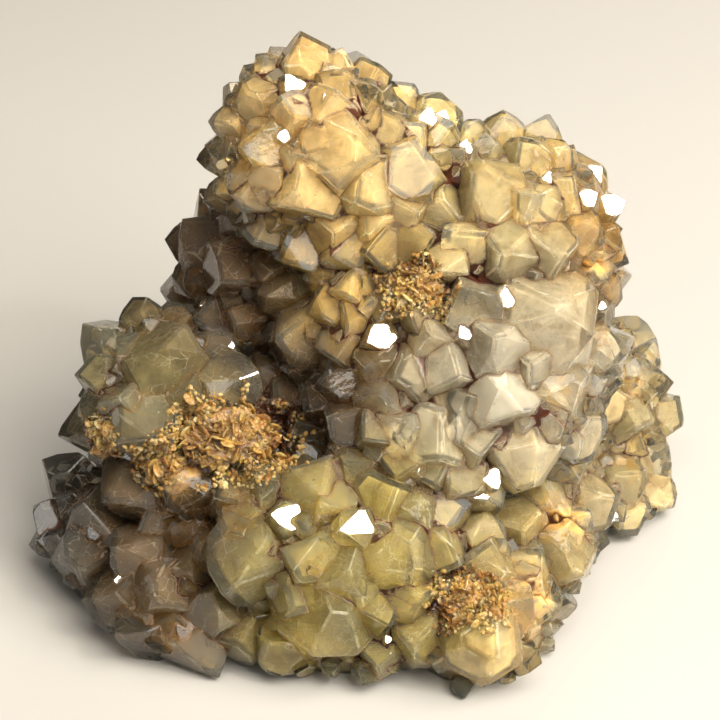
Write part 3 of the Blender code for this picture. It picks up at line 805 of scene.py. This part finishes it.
# rust and orange stains: across, up, reach, strength
stains = {
    "crownLeft": (-18.5, 26.0, 5.0, 0.9),
    "crownJoints": (-3.0, 36.0, 4.0, 0.3),
    "rightEdgeTop": (36.0, 27.0, 5.0, 0.5),
    "rightEdgeWedge": (35.0, 13.5, 4.5, 1.0),
    "rightEdgeSpots": (28.5, 27.0, 4.0, 0.5),
    "rightWallSpot": (30.5, -5.0, 2.6, 0.7),
    "rightBand": (30.0, -24.5, 6.0, 1.0),
    "farRightTop": (41.0, -4.0, 4.0, 0.8),
    "farRightMiddle": (39.5, -16.0, 4.0, 0.8),
    "farRightLow": (44.5, -20.5, 3.5, 0.7),
    "lowerRightSeam": (25.5, -36.0, 6.0, 0.9),
    "lowerRightFoot": (22.0, -44.0, 5.0, 0.5),
    "leftCrestSide": (-14.0, -12.5, 6.5, 0.9),
    "leftCrestFoot": (-27.0, -16.5, 5.0, 0.9),
    "frontLeftFoot": (-27.0, -41.0, 5.0, 0.6),
    "middlePit": (10.5, -17.5, 3.0, 0.7),
}
# where the joints are filled with dark red-brown dirt: across, up and reach
dirtyJoints = {
    "crownFork": (5.2, 28.4, 2.6),
    "crownForkBeside": (12.9, 27.0, 1.9),
    "crownTop": (-0.6, 37.7, 2.1),
    "crownMiddle": (-5.2, 34.2, 1.6),
    "crownLow": (-6.8, 30.9, 1.5),
    "crownLeftTop": (-14.2, 43.6, 1.9),
    "shoulder": (10.8, 19.0, 2.1),
    "upperMiddle": (-3.0, 16.2, 1.8),
    "upperMiddleBeside": (3.3, 16.5, 1.6),
    "besideCrest": (17.2, 11.5, 2.5),
    "middle": (9.0, -1.0, 2.1),
    "wallLeft": (15.8, -2.4, 1.6),
    "wallRight": (27.0, -8.0, 1.7),
    "wallLow": (21.0, -11.2, 1.9),
    "lowerRight": (24.3, -37.2, 1.7),
    "lowerRightFoot": (18.8, -45.8, 1.5),
}
dirtDepth = 7.0  # how far in front of and behind the lobes the dirt reaches


# 1 at a place on the rock that the camera sees, falling off round it
def nearness(points, across, up, reach):
    centre = np.array(seenPoint(across, up, 0.0))
    return np.exp(-(np.linalg.norm(points - centre, axis=1) / reach) ** 2)


# the same along the whole line of sight, down to a depth
def nearLine(points, across, up, reach):
    centre = seenPoint(across, up, 0.0)
    sight = np.array((centre - viewpoint).normalized())
    offset = points - np.array(centre)
    along = offset @ sight
    beside = np.linalg.norm(offset - np.outer(along, sight), axis=1)
    return np.exp(-(beside / reach) ** 2 - (along / dirtDepth) ** 2)


# body colour with painted light and shade, stains and dirt for each point of a quartz mesh
def paintColourAndShade(mesh):
    points = meshPoints(mesh)
    total = np.full(len(points), restOfDruse)
    colour = np.outer(total, paleQuartz)
    for across, up, reach, zoneColour in colourAndShadeZones.values():
        weight = nearness(points, across, up, reach)
        total += weight
        colour += np.outer(weight, zoneColour)
    colour /= total[:, None]
    values = np.concatenate([colour, np.ones((len(points), 1))], axis=1).astype(np.float32)
    # the tint holds the body colour and the painted light and shade together
    mesh.attributes.new("tint", "FLOAT_COLOR", "POINT").data.foreach_set("color", values.ravel())
    stain, dirty = np.zeros(len(points)), np.zeros(len(points))
    for across, up, reach, strength in stains.values():
        stain = np.maximum(stain, strength * nearness(points, across, up, reach))
    for across, up, reach in dirtyJoints.values():
        dirty = np.maximum(dirty, nearLine(points, across, up, reach))
    keepValues(mesh, "stain", stain)
    keepValues(mesh, "dirty", dirty)


# the nodes of a material, with one shader at the surface
class SurfaceNodes(Nodes):
    def __init__(self, name):
        self.material = bpy.data.materials.new(name)
        self.material.use_nodes = True
        super().__init__(self.material.node_tree)
        self.where = self.add("ShaderNodeTexCoord").outputs["Object"]

    def surface(self, inputs):
        for key, value in inputs.items():
            self.give(value, self.tree.nodes["Principled BSDF"].inputs[key])
        return self.material

    def attribute(self, name, output="Fac"):
        return self.add("ShaderNodeAttribute", attribute_name=name).outputs[output]

    def noise(self, scale, detail=3.0, rough=0.55, warp=0.0, output="Fac"):
        return self.add("ShaderNodeTexNoise", {
            "Vector": self.where, "Scale": scale, "Detail": detail, "Roughness": rough, "Distortion": warp,
        }).outputs[output]

    def spread(self, value, low, high, toLow=0.0, toHigh=1.0, smooth=False):
        return self.add("ShaderNodeMapRange", {
            "Value": value, "From Min": low, "From Max": high, "To Min": toLow, "To Max": toHigh,
        }, interpolation_type="SMOOTHSTEP" if smooth else "LINEAR").outputs["Result"]

    def times(self, first, second):
        return self.math("MULTIPLY", first, second)

    def blend(self, share, first, second, kind="MIX"):
        first, second = ((*value, 1.0) if isinstance(value, tuple) else value for value in (first, second))
        given = {"Factor": share, 6: first, 7: second}
        return self.add("ShaderNodeMix", given, data_type="RGBA", blend_type=kind).outputs[2]

    # a colour darkened or lightened, channel by channel, by another
    def tinted(self, first, second):
        return self.blend(1.0, first, second, "MULTIPLY")

    def bump(self, height, strength, distance):
        given = {"Height": height, "Strength": strength, "Distance": distance}
        return self.add("ShaderNodeBump", given).outputs["Normal"]


crystalLook = {
    "transmission": 0.97,
    "milkiness": 0.10,
    "milkDraw": 7.0,
    "haze": 0.05,
    "ior": 1.544,
    "absorptionColour": seen(250, 238, 196),
    "absorptionDensity": 24.0,
    "roughness": (0.02, 0.10),
    "tones": ((0.78, 0.77, 0.75), (1.04, 1.03, 1.0)),
    "clear": (1.0, 0.98, 0.90),
    "clearing": 0.32,
    # the painted edge highlight: how much it lightens the bevelled edges, and how far it covers the clear
    # quartz
    "edge": (1.25, 1.25, 1.22),
    "edgeHighlightCover": 0.22,
    "rust": seen(232, 186, 96),
    "rustDeep": seen(194, 136, 60),
    "rustCover": 0.75,
    "honey": seen(214, 168, 100),
    "honeyShare": 0.40,
    "jointBrown": seen(74, 40, 22),
    "jointRed": seen(80, 42, 26),
    "jointWidth": (0.02, 0.42),
    "jointRough": 0.6,
    "stainWidth": 0.30,
    "dirtyWidth": 0.9,
    "ripple": (0.07, 0.0004),
    "scatter": 1.0,
    "scatterReach": (0.0060, 0.0054, 0.0042),
}
heartLook = {
    "tones": ((0.66, 0.65, 0.62), (1.08, 1.07, 1.05)),
    "hues": ((1.04, 0.97, 0.86), (0.96, 0.97, 1.02)),
    "hueDraw": 17.0,
    "milk": (1.62, 1.64, 1.68),
    "smoke": (0.60, 0.51, 0.37),
    "smokeShare": 0.75,
    "crackScale": 560.0,
    "crackBend": 0.0018,
    "crackShare": 0.8,
    "fleck": seen(255, 250, 228),
    "speck": (0.30, 0.20, 0.12),
    "speckShare": 0.7,
    "rust": seen(226, 180, 88),
    "roughness": 0.45,
}


# clear quartz, with rust, honey colour and brown dirt at the joints
def crystalMaterial():
    given, n = crystalLook, SurfaceNodes("quartz crystal")
    tone, joint, stain = n.attribute("tone"), n.attribute("joint"), n.attribute("stain")
    # the tint brings the zones' painted light and shade into the body colour
    body = n.tinted(n.attribute("tint", "Color"), n.blend(tone, *given["tones"]))
    body = n.blend(given["clearing"], body, given["clear"])
    # rust in the stained places
    patches = n.noise(300.0, 5.0, 0.65)
    rusty = n.spread(n.math("ADD", n.times(stain, 0.70), patches), 0.84, 1.10, smooth=True)
    rust = n.blend(n.spread(n.noise(800.0, 3.0), 0.4, 0.6), given["rustDeep"], given["rust"])
    body = n.blend(n.times(rusty, 0.8), body, rust)
    # honey colour towards the joints, and dirt in some of them
    near = n.spread(joint, 0.05, 0.70, given["honeyShare"], 0.0, smooth=True)
    body = n.blend(near, body, given["honey"])
    dirt = n.noise(110.0, 3.0, 0.6)
    filled = n.spread(n.attribute("dirty"), 0.30, 0.75)
    width = n.spread(dirt, 0.42, 0.64, *given["jointWidth"])
    width = n.math("ADD", width, n.times(stain, given["stainWidth"]))
    width = n.math("ADD", width, n.times(filled, given["dirtyWidth"]))
    ragged = n.math("ADD", joint, n.spread(n.noise(1500.0, 3.0), 0.3, 0.7, -0.14, 0.14))
    line = n.spread(ragged, 0.0, width, 1.0, 0.0, smooth=True)
    line = n.times(line, n.spread(dirt, 0.46, 0.56, 0.50, 1.0))
    line = n.math("MULTIPLY", line, n.spread(filled, 0.0, 0.5, 1.0, 1.8), clamp=True)
    body = n.blend(line, body, n.blend(filled, given["jointBrown"], given["jointRed"]))
    # painted highlight: pale lines along the bevelled edges
    edgeHighlight = n.times(n.attribute("worn"), n.spread(n.noise(360.0, 4.0), 0.46, 0.62, 0.10, 1.0))
    edgeHighlight = n.times(edgeHighlight, n.spread(joint, 0.05, 0.40))
    body = n.blend(edgeHighlight, body, n.tinted(body, given["edge"]))
    # what covers or clouds the clear quartz
    rough = n.spread(n.noise(420.0, 4.0), 0.40, 0.70, *given["roughness"])
    milky = n.times(n.math("FRACT", n.times(tone, given["milkDraw"])), given["milkiness"])
    haze = n.times(n.spread(n.noise(140.0, 3.0, 0.5), 0.45, 0.65, smooth=True), given["haze"])
    covered = n.math("MAXIMUM", n.times(rusty, given["rustCover"]), line)
    covered = n.math("MAXIMUM", covered, n.math("ADD", milky, haze))
    covered = n.math("MAXIMUM", covered, n.times(edgeHighlight, given["edgeHighlightCover"]))
    inside = n.add("ShaderNodeVolumeAbsorption", {
        "Color": (*given["absorptionColour"], 1.0), "Density": given["absorptionDensity"],
    })
    n.give(inside.outputs[0], n.tree.nodes["Material Output"].inputs["Volume"])
    return n.surface({
        "Base Color": body,
        "Roughness": n.math("MAXIMUM", rough, n.times(line, given["jointRough"])),
        "Transmission Weight": n.times(n.math("SUBTRACT", 1.0, covered), given["transmission"]),
        "Normal": n.bump(n.noise(650.0, 2.0, 0.6), *given["ripple"]),
        "IOR": given["ior"],
        "Subsurface Weight": given["scatter"],
        "Subsurface Radius": given["scatterReach"],
        "Subsurface Scale": 1.0,
    })


# the cloudy middle of the crystals: milk, smoke, healed cracks and iron
def coreMaterial():
    given, n = heartLook, SurfaceNodes("quartz heart")
    tone, stain = n.attribute("tone"), n.attribute("stain")
    # the tint brings the zones' painted light and shade into the body colour
    body = n.tinted(n.attribute("tint", "Color"), n.blend(tone, *given["tones"]))
    hue = n.math("FRACT", n.times(tone, given["hueDraw"]))
    body = n.tinted(body, n.blend(hue, *given["hues"]))
    cloud = n.spread(n.noise(300.0, 6.0, 0.62, 0.6), 0.38, 0.70, smooth=True)
    body = n.blend(n.spread(cloud, 0.0, 1.0, 0.10, 0.95), body, n.tinted(body, given["milk"]))
    smoke = n.spread(n.noise(230.0, 6.0, 0.62, 0.8), 0.46, 0.64, smooth=True)
    body = n.blend(n.times(smoke, given["smokeShare"]), body, n.tinted(body, given["smoke"]))
    # healed cracks between bent cells, pale flecks and dark specks
    bent = n.add("ShaderNodeVectorMath", {
        0: n.noise(500.0, 3.0, output="Color"), 1: (given["crackBend"],) * 3, 2: n.where,
    }, operation="MULTIPLY_ADD")
    cells = n.add("ShaderNodeTexVoronoi", {
        "Vector": bent.outputs[0], "Scale": given["crackScale"],
    }, feature="DISTANCE_TO_EDGE")
    crack = n.spread(cells.outputs["Distance"], 0.0, 0.035, 1.0, 0.0)
    crack = n.times(crack, n.spread(n.noise(280.0, 2.0), 0.46, 0.58))
    fleck = n.spread(n.noise(1700.0, 2.0, 0.6), 0.66, 0.74)
    fleck = n.times(fleck, n.spread(n.noise(200.0, 2.0), 0.48, 0.58))
    pale = n.math("MAXIMUM", n.times(crack, given["crackShare"]), fleck)
    body = n.blend(pale, body, given["fleck"])
    speck = n.spread(n.noise(2300.0, 1.0), 0.74, 0.78)
    body = n.blend(n.times(speck, given["speckShare"]), body, n.tinted(body, given["speck"]))
    rusty = n.math("ADD", n.times(stain, 0.8), n.noise(340.0, 5.0, 0.65))
    body = n.blend(n.spread(rusty, 0.80, 1.10, smooth=True), body, given["rust"])
    return n.surface({"Base Color": body, "Roughness": given["roughness"]})


# runs rock, big crystals and sprouting small ones together by the druse tree
def growFused(name, mesh, big, small, material, top):
    thing = newObject(name, mesh)
    block = blockBelow(top)
    grown = druseNodes().growOn(thing, name, {
        "Big crystals": big, "Small crystals": small, "Cut below": block, "Material": material,
        "Crystal spacing": smallGrowth["spacing"] * mm, "Crystal smallest": smallGrowth["smallest"],
        "Crystal largest": smallGrowth["largest"], "Lean": smallGrowth["lean"], "Seed": smallGrowth["seed"],
    })
    bpy.data.objects.remove(block, do_unlink=True)
    print(name, "fused", len(grown.polygons))
    return thing


# the clear crystals on the rock, and their cloudy hearts on the rock inside it
def buildQuartz():
    big, small, hearts = (newCollection(name) for name in ("big crystals", "small crystals", "hearts"))
    rng = np.random.default_rng(crystalForm["seed"])
    extraRng = np.random.default_rng(crystalForm["seed"] + 1)
    planted = plantFront(rng, extraRng, big, hearts)
    plantBack(rng, extraRng, big, hearts, planted)
    smallKinds(small)
    print("big crystals", len(planted))
    mesh = rockMesh("rock", rock["voxel"], 0.0, rock["share"])
    markRoom(mesh, planted)
    quartz = growFused("quartz_crystals", mesh, big, small, crystalMaterial(), 0.0)
    markCreases(quartz.data)
    paintColourAndShade(quartz.data)
    print("druse marked", len(quartz.data.polygons))
    # the inner rock has no room for small crystals
    inner = rockMesh("inner", rock["coreVoxel"], rock["coreDepth"], 1.0)
    inner.attributes.new("room", "FLOAT", "POINT")
    core = growFused("quartz_rock", inner, hearts, small, coreMaterial(), rock["coreBase"])
    paintColourAndShade(core.data)
    for collection in (big, small, hearts):
        removeCollection(collection)
    return quartz, core


# the barite crests: across, up and half sizes of each, as in the solid, and how far past them crumbs lie
crests = {
    "barite_crest_middle": (8.2, 11.0, (4.6, 4.0, 3.6), 1.25),
    "barite_crest_left": (-19.6, -11.8, (8.6, 5.2, 5.0), 1.30),
    "barite_crest_left_edge": (-38.4, -11.4, (4.0, 3.6, 3.4), 1.15),
    "barite_crest_left_lower": (-29.6, -16.2, (3.8, 3.0, 3.2), 1.30),
    "barite_crest_lower_right": (16.2, -36.4, (4.6, 3.6, 3.6), 1.40),
}
crestGrowth = {
    "sink": 0.6,
    "seat": 0.5,
    "facing": 0.8,
    "rootShare": (0.85, 0.85, 0.62),
    "rootLumps": 0.9,
    "rootNoise": ((2.2, 0.30), (5.5, 0.14)),  # scale and height of its two sizes of lump
    "margin": 2.0,  # of rock round a crest that is looked at
    "underside": -0.1,
    "raggedness": 1.5,
    "outlineScale": 300.0,
    "densest": 2.0e7,  # a square metre, before the spacing thins them
    "bladeSpacing": 1.20,
    "blade": (0.6, 1.75),
    "bladeSpread": 0.85,
    "bladeTurns": 4.0,
    "bladeDriftScale": 230.0,
    "bladeLimit": 1.45,
    "bladeKinds": 8,
    "crumbSpacing": 0.56,
    "crumb": (0.30, 1.05),
    "crumbLimit": 1.72,
    "crumbKinds": 12,
    "sunkRound": 0.35,  # how much lower the rim of a crest counts than its middle
    "seed": 31,
}
# a blade of unit height and a crumb of unit width
bladeForm = {
    "sides": 16,
    "rings": ((1.0, 0.30), (0.68, 1.0)),  # reach and share of the thickness, from the rim in
    "scallops": (5, 8),
    "scallopDepth": 0.09,
    "wave": 0.03,
    "waves": 3.0,
    "thickness": (0.16, 0.26),
    "wide": 1.25,
    "lift": 0.30,
}
crumbForm = {
    "faces": 13,
    "reach": (0.36, 0.56),
    "stretch": ((0.7, 1.1), (0.7, 1.1), (0.6, 0.9)),
}


# the attitude of a crest's solid, its foot sunk in the rock and its top turned to the camera
def crestPlace(across, up, half):
    seat = seenPoint(across, up, half[2] * crestGrowth["sink"])
    axis = (outward(seat) - viewForward * crestGrowth["facing"]).normalized()
    side = viewUp.cross(axis).normalized()
    turn = Matrix((side, axis.cross(side), axis)).transposed()
    return Matrix.Translation(seat - axis * half[2] * crestGrowth["seat"]) @ turn.to_4x4()


# a thin upright plate with a scalloped rim, thickest in the middle, standing on the origin
def bladeMesh(rng):
    form = bladeForm
    shape = bmesh.new()
    grain = shape.faces.layers.float.new("grain")
    scallops = rng.integers(*form["scallops"])
    phase = rng.uniform(0.0, math.tau)
    thick = rng.uniform(*form["thickness"])
    tone = rng.uniform(0.0, 1.0)
    sides, lift = form["sides"], form["lift"]
    rims = []
    for face in (-1.0, 1.0):
        loops = []
        for reach, share in form["rings"]:
            loop = []
            for step in range(sides):
                angle = math.tau * step / sides
                scallop = form["scallopDepth"] * abs(math.sin(angle * scallops / 2.0 + phase))
                radius = reach * 0.5 * (1.0 + scallop)
                wave = form["wave"] * math.sin(angle * form["waves"] + phase)
                across, up = radius * math.cos(angle) * form["wide"], radius * math.sin(angle) + lift
                loop.append(shape.verts.new((across, face * thick * 0.5 * share + wave, up)))
            loops.append(loop)
        middle = shape.verts.new((0.0, face * thick * 0.5, lift))
        rims.append(loops[0])
        for outer, inner in zip(loops, loops[1:]):
            for step in range(sides):
                after = (step + 1) % sides
                shape.faces.new((outer[step], outer[after], inner[after], inner[step]))
        for step in range(sides):
            shape.faces.new((loops[-1][step], loops[-1][(step + 1) % sides], middle))
    for step in range(sides):
        after = (step + 1) % sides
        shape.faces.new((rims[0][step], rims[0][after], rims[1][after], rims[1][step]))
    bmesh.ops.recalc_face_normals(shape, faces=shape.faces)
    for face in shape.faces:
        face[grain] = tone
    bmesh.ops.triangulate(shape, faces=shape.faces)
    bmesh.ops.scale(shape, vec=(mm, mm, mm), verts=shape.verts)
    return meshOf(shape, "blade")


# a small angular grain
def crumbMesh(rng):
    form = crumbForm
    normals = [tuple(Vector(rng.normal(0.0, 1.0, 3)).normalized()) for _ in range(form["faces"])]
    for axis in np.eye(3):
        normals += [tuple(axis), tuple(-axis)]
    offsets = [rng.uniform(*form["reach"]) for _ in normals]
    shape, (grain,) = solidShape(*convexSolid(normals, offsets), ("grain",))
    tone = rng.uniform(0.0, 1.0)
    for face in shape.faces:
        face[grain] = tone
    bmesh.ops.triangulate(shape, faces=shape.faces)
    stretch = [mm * rng.uniform(*limits) for limits in form["stretch"]]
    bmesh.ops.scale(shape, vec=stretch, verts=shape.verts)
    return meshOf(shape, "crumb")


# a lumpy rounded mass, the root that a crest grows from
def crestRoot(half, place, rng):
    shape = bmesh.new()
    bmesh.ops.create_icosphere(shape, subdivisions=4, radius=1.0)
    shift = Vector(rng.uniform(-50.0, 50.0, 3))
    for vertex in shape.verts:
        lump = sum(noise.noise(vertex.co * scale + shift) * high for scale, high in crestGrowth["rootNoise"])
        vertex.co *= 1.0 + lump * crestGrowth["rootLumps"]
    share = Matrix.Diagonal((*(size * part for size, part in zip(half, crestGrowth["rootShare"])), 1.0))
    bmesh.ops.transform(shape, matrix=Matrix.Scale(mm, 4) @ place @ share, verts=shape.verts)
    return meshOf(shape, "crestRoot")


# the surface round a crest that blades and crumbs may sit on, with reach 1 at the crest's outline
def crestGround(root, quartzMesh, half, place, spread):
    toCrest = place.inverted()
    axis = place.to_3x3() @ Vector((0.0, 0.0, 1.0))
    width, depth = half[0] * spread, half[1] * spread
    margin = crestGrowth["margin"]
    shape = bmesh.new()
    shape.from_mesh(quartzMesh)
    far = []
    for face in shape.faces:
        local = toCrest @ (face.calc_center_median() / mm)
        outside = abs(local.x) > width + margin or abs(local.y) > depth + margin
        if outside or abs(local.z) > half[2] * 2.0 or face.normal.dot(axis) < crestGrowth["underside"]:
            far.append(face)
    bmesh.ops.delete(shape, geom=far, context="FACES")
    shape.from_mesh(root)
    reach = shape.verts.layers.float.new("reach")
    for vertex in shape.verts:
        local = toCrest @ (vertex.co / mm)
        vertex[reach] = math.hypot(local.x / width, local.y / depth)
    low = [face for face in shape.faces if (toCrest @ (face.calc_center_median() / mm)).z < -half[2]]
    bmesh.ops.delete(shape, geom=low, context="FACES")
    # corners and faces in the order of their places, so that each run plants the same
    corners = sorted(shape.verts, key=lambda vertex: tuple(vertex.co))
    rank = {vertex: index for index, vertex in enumerate(corners)}
    faces = []
    for face in shape.faces:
        ranks = [rank[vertex] for vertex in face.verts]
        first = ranks.index(min(ranks))
        faces.append(ranks[first:] + ranks[:first])
    mesh = bpy.data.meshes.new("crestGround")
    mesh.from_pydata([tuple(vertex.co) for vertex in corners], [], sorted(faces))
    keepValues(mesh, "reach", [vertex[reach] for vertex in corners])
    shape.free()
    return mesh


# blades and crumbs over the ground of a crest, run together with its root
def crestNodes():
    form = crestGrowth
    n = GrowthNodes("growCrest", {
        "Ground": "Geometry", "Root": "Object", "Blades": "Collection", "Crumbs": "Collection",
        "Blade spacing": "Float", "Blade smallest": "Float", "Blade largest": "Float",
        "Blade spread": "Float", "Crumb spacing": "Float", "Crumb smallest": "Float",
        "Crumb largest": "Float", "Raggedness": "Float", "Seed": "Int", "Material": "Material",
    })

    # the shapes of one kind, inside a ragged outline
    def scatter(label, turn, limit):
        points = n.pointsOn("Ground", label, form["densest"])
        patchy = n.add("ShaderNodeTexNoise", {"Scale": form["outlineScale"], "Detail": 2.0})
        ragged = n.add("ShaderNodeMath", {
            0: patchy.outputs[0], 1: n.given["Raggedness"], 2: n.attribute("reach"),
        }, operation="MULTIPLY_ADD")
        outside = n.math("GREATER_THAN", ragged.outputs[0], limit)
        kept = n.add("GeometryNodeDeleteGeometry", {
            "Geometry": points.outputs["Points"], "Selection": outside,
        }, domain="POINT")
        return n.sprouts(kept.outputs[0], points.outputs["Rotation"], label + "s", label, turn)

    anyTurn = n.add("FunctionNodeRandomValue", {"Min": (-math.pi,) * 3, "Max": (math.pi,) * 3},
                    data_type="FLOAT_VECTOR")
    # neighbouring blades stand nearly parallel: their spin follows a slow noise
    drift = n.add("ShaderNodeTexNoise", {"Scale": form["bladeDriftScale"], "Detail": 1.0})
    spin = n.math("MULTIPLY", drift.outputs[0], form["bladeTurns"] * math.tau)
    least, most = (n.math("MULTIPLY", n.given["Blade spread"], half) for half in (-0.5, 0.5))
    tip = n.add("FunctionNodeRandomValue", {2: least, 3: most}, data_type="FLOAT")
    bladeTurn = n.add("ShaderNodeCombineXYZ", {"X": tip.outputs[1], "Z": spin})
    blades = scatter("Blade", bladeTurn.outputs[0], form["bladeLimit"])
    crumbs = scatter("Crumb", anyTurn.outputs[0], form["crumbLimit"])
    return n.finish(n.union(blades, crumbs, n.shape("Root")))


bariteLook = {
    # pale is the colour of grains painted as highlights; brown and its share are the painted shade
    "pale": seen(236, 212, 156),
    "golden": seen(212, 172, 96),
    "tan": seen(190, 146, 90),
    "orange": seen(184, 116, 50),
    "orangeShare": 0.6,
    "brown": seen(80, 46, 26),
    "brownShare": 0.6,
    "roughness": (0.12, 0.42),
    "grainBump": (0.35, 0.0002),
    "ior": 1.64,
    "transmission": 0.42,
    "scatter": 0.6,
    "scatterReach": (0.0010, 0.0007, 0.0004),
}


# golden barite, orange in patches, pale grains as painted highlights, and dark brown painted shade in patches
# and in the hollows
def bariteMaterial():
    given, n = bariteLook, SurfaceNodes("barite")
    grain, sunk = n.attribute("grain"), n.attribute("sunk")
    body = n.blend(n.spread(grain, 0.1, 0.8), given["tan"], given["golden"])
    patches = n.spread(n.noise(260.0, 4.0, 0.6), 0.52, 0.64, 0.0, given["orangeShare"])
    body = n.blend(patches, body, given["orange"])
    # painted highlight: pale grains where noise and grain tone are high
    pale = n.spread(n.math("ADD", n.noise(700.0, 3.0), n.times(grain, 0.25)), 0.66, 0.84)
    body = n.blend(pale, body, given["pale"])
    # painted shade: dark brown in noise patches and in the sunk hollows
    dark = n.spread(n.noise(330.0, 4.0, 0.6, 0.5), 0.50, 0.62)
    low = n.math("ADD", sunk, n.spread(n.noise(500.0, 3.0), 0.3, 0.7, -0.3, 0.3))
    dark = n.math("MAXIMUM", n.times(dark, given["brownShare"]), n.spread(low, 0.25, 0.80, smooth=True))
    return n.surface({
        "Base Color": n.blend(dark, body, given["brown"]),
        "Roughness": n.spread(n.noise(1500.0, 3.0), 0.35, 0.65, *given["roughness"]),
        "Normal": n.bump(n.noise(2600.0, 4.0, 0.6), *given["grainBump"]),
        "IOR": given["ior"],
        "Transmission Weight": given["transmission"],
        "Subsurface Weight": given["scatter"],
        "Subsurface Radius": given["scatterReach"],
        "Subsurface Scale": 1.0,
    })


def buildCrests(quartzMesh):
    form, nodes, material = crestGrowth, crestNodes(), bariteMaterial()
    rng = np.random.default_rng(form["seed"])
    blades, crumbs = newCollection("blades"), newCollection("crumbs")
    for _ in range(form["bladeKinds"]):
        newObject("blade", bladeMesh(rng), blades)
    for _ in range(form["crumbKinds"]):
        newObject("crumb", crumbMesh(rng), crumbs)
    built = []
    for index, (name, (across, up, half, spread)) in enumerate(crests.items()):
        place = crestPlace(across, up, half)
        root = newObject("crestRoot", crestRoot(half, place, rng))
        thing = newObject(name + "_growth", crestGround(root.data, quartzMesh, half, place, spread))
        grown = nodes.growOn(thing, name, {
            "Root": root, "Blades": blades, "Crumbs": crumbs, "Material": material,
            "Blade spacing": form["bladeSpacing"] * mm, "Blade smallest": form["blade"][0],
            "Blade largest": form["blade"][1], "Blade spread": form["bladeSpread"],
            "Crumb spacing": form["crumbSpacing"] * mm, "Crumb smallest": form["crumb"][0],
            "Crumb largest": form["crumb"][1], "Raggedness": form["raggedness"],
            "Seed": form["seed"] + index,
        })
        bpy.data.objects.remove(root, do_unlink=True)
        # how deep each point lies in its crest, for the painted shade in the hollows
        toCrest = np.array(place.inverted())
        local = meshPoints(grown) @ toCrest[:3, :3].T + toCrest[:3, 3]
        away = np.hypot(local[:, 0] / half[0], local[:, 1] / half[1])
        keepValues(grown, "sunk", np.clip(1.0 - local[:, 2] / half[2] - away * form["sunkRound"], 0.0, 1.0))
        print(name, "triangles", sum(len(face.vertices) - 2 for face in grown.polygons))
        built.append((name, thing))
    for collection in (blades, crumbs):
        removeCollection(collection)
    return built


floorLook = {
    "reach": 3.0,  # metres
    "sides": 96,
    "colours": ((0.41, 0.40, 0.39), (0.44, 0.43, 0.42)),
    "roughness": 0.75,
}


def buildFloor():
    shape = bmesh.new()
    bmesh.ops.create_circle(shape, cap_ends=True, segments=floorLook["sides"], radius=floorLook["reach"])
    floor = newObject("floor", meshOf(shape, "floor"))
    n = SurfaceNodes("pale floor")
    colour = n.blend(n.noise(2.0, 3.0), *floorLook["colours"])
    floor.data.materials.append(n.surface({"Base Color": colour, "Roughness": floorLook["roughness"]}))


bounces = {
    "max_bounces": 5, "diffuse_bounces": 1, "glossy_bounces": 1, "transmission_bounces": 5,
    "volume_bounces": 0,
}

# each light: where it stands from the part's centre in metres, its width, power and colour
toKey = keyPlace - look["centre"] * mm
lights = {
    "key": (toKey, 0.66, 12.8, (1.0, 0.92, 0.78)),
    "sparkle": (toKey * 0.97, 0.06, 1.0, (1.0, 0.96, 0.88)),
    "top": ((-0.02, -0.16, 0.36), 0.16, 0.5, (1.0, 0.93, 0.80)),
    "back": ((0.3, 0.9, 0.6), 0.7, 4.0, (1.0, 0.92, 0.80)),
    "sheen": ((0.10, -0.75, 0.75), 0.5, 2.4, (0.96, 0.96, 0.96)),
}
# small lamps that mostly show as glints
glintLamps = {
    "places": (
        (-0.75, -0.70, 0.80), (0.05, -0.10, 1.20), (0.30, -1.10, 0.30), (0.9, -0.6, 0.2), (-0.5, 0.3, 1.0),
    ),
    "look": (0.26, 0.9, (1.0, 0.95, 0.86)),
}
surroundings = {"colour": (0.84, 0.76, 0.64), "strength": 0.08}


def areaLight(name, place, size, power, colour):
    light = bpy.data.lights.new(name, "AREA")
    light.shape = "DISK"
    light.size = size
    light.energy = power
    light.color = colour
    thing = newObject(name, light)
    thing.location = look["centre"] * mm + Vector(place)
    thing.rotation_euler = Vector(place).to_track_quat("Z", "Y").to_euler()
    return thing


def buildLight():
    made = {name: areaLight(name, *row) for name, row in lights.items()}
    for index, place in enumerate(glintLamps["places"]):
        areaLight("lamp %d" % index, place, *glintLamps["look"])
    # the broad lights show no shape of their own in the faces
    made["key"].visible_glossy = made["top"].visible_glossy = False
    # a soft pale panel that only shows as a sheen on the faces turned to it
    sheen = made["sheen"]
    sheen.visible_diffuse = sheen.visible_transmission = sheen.visible_volume_scatter = False
    world = bpy.data.worlds.new("studio")
    world.use_nodes = True
    background = world.node_tree.nodes["Background"]
    background.inputs["Color"].default_value = (*surroundings["colour"], 1.0)
    background.inputs["Strength"].default_value = surroundings["strength"]
    bpy.context.scene.world = world


def buildCamera():
    camera = bpy.data.cameras.new("camera")
    camera.sensor_width = look["sensor"]
    camera.lens = look["sensor"] * look["distance"] / look["width"]
    camera.clip_start = look["clipStart"]
    thing = newObject("camera", camera)
    thing.location = viewpoint * mm
    thing.rotation_euler = viewForward.to_track_quat("-Z", "Y").to_euler()
    bpy.context.scene.camera = thing


buildCamera()
buildLight()
buildFloor()
quartz, core = buildQuartz()
for piece in (quartz, core):
    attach(piece, "root")
    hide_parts("quartz_druse")
for name, piece in buildCrests(quartz.data):
    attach(piece, "root")
    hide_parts(name)
bpy.context.scene.view_settings.view_transform = "Standard"
for kind, most in bounces.items():
    setattr(bpy.context.scene.cycles, kind, most)
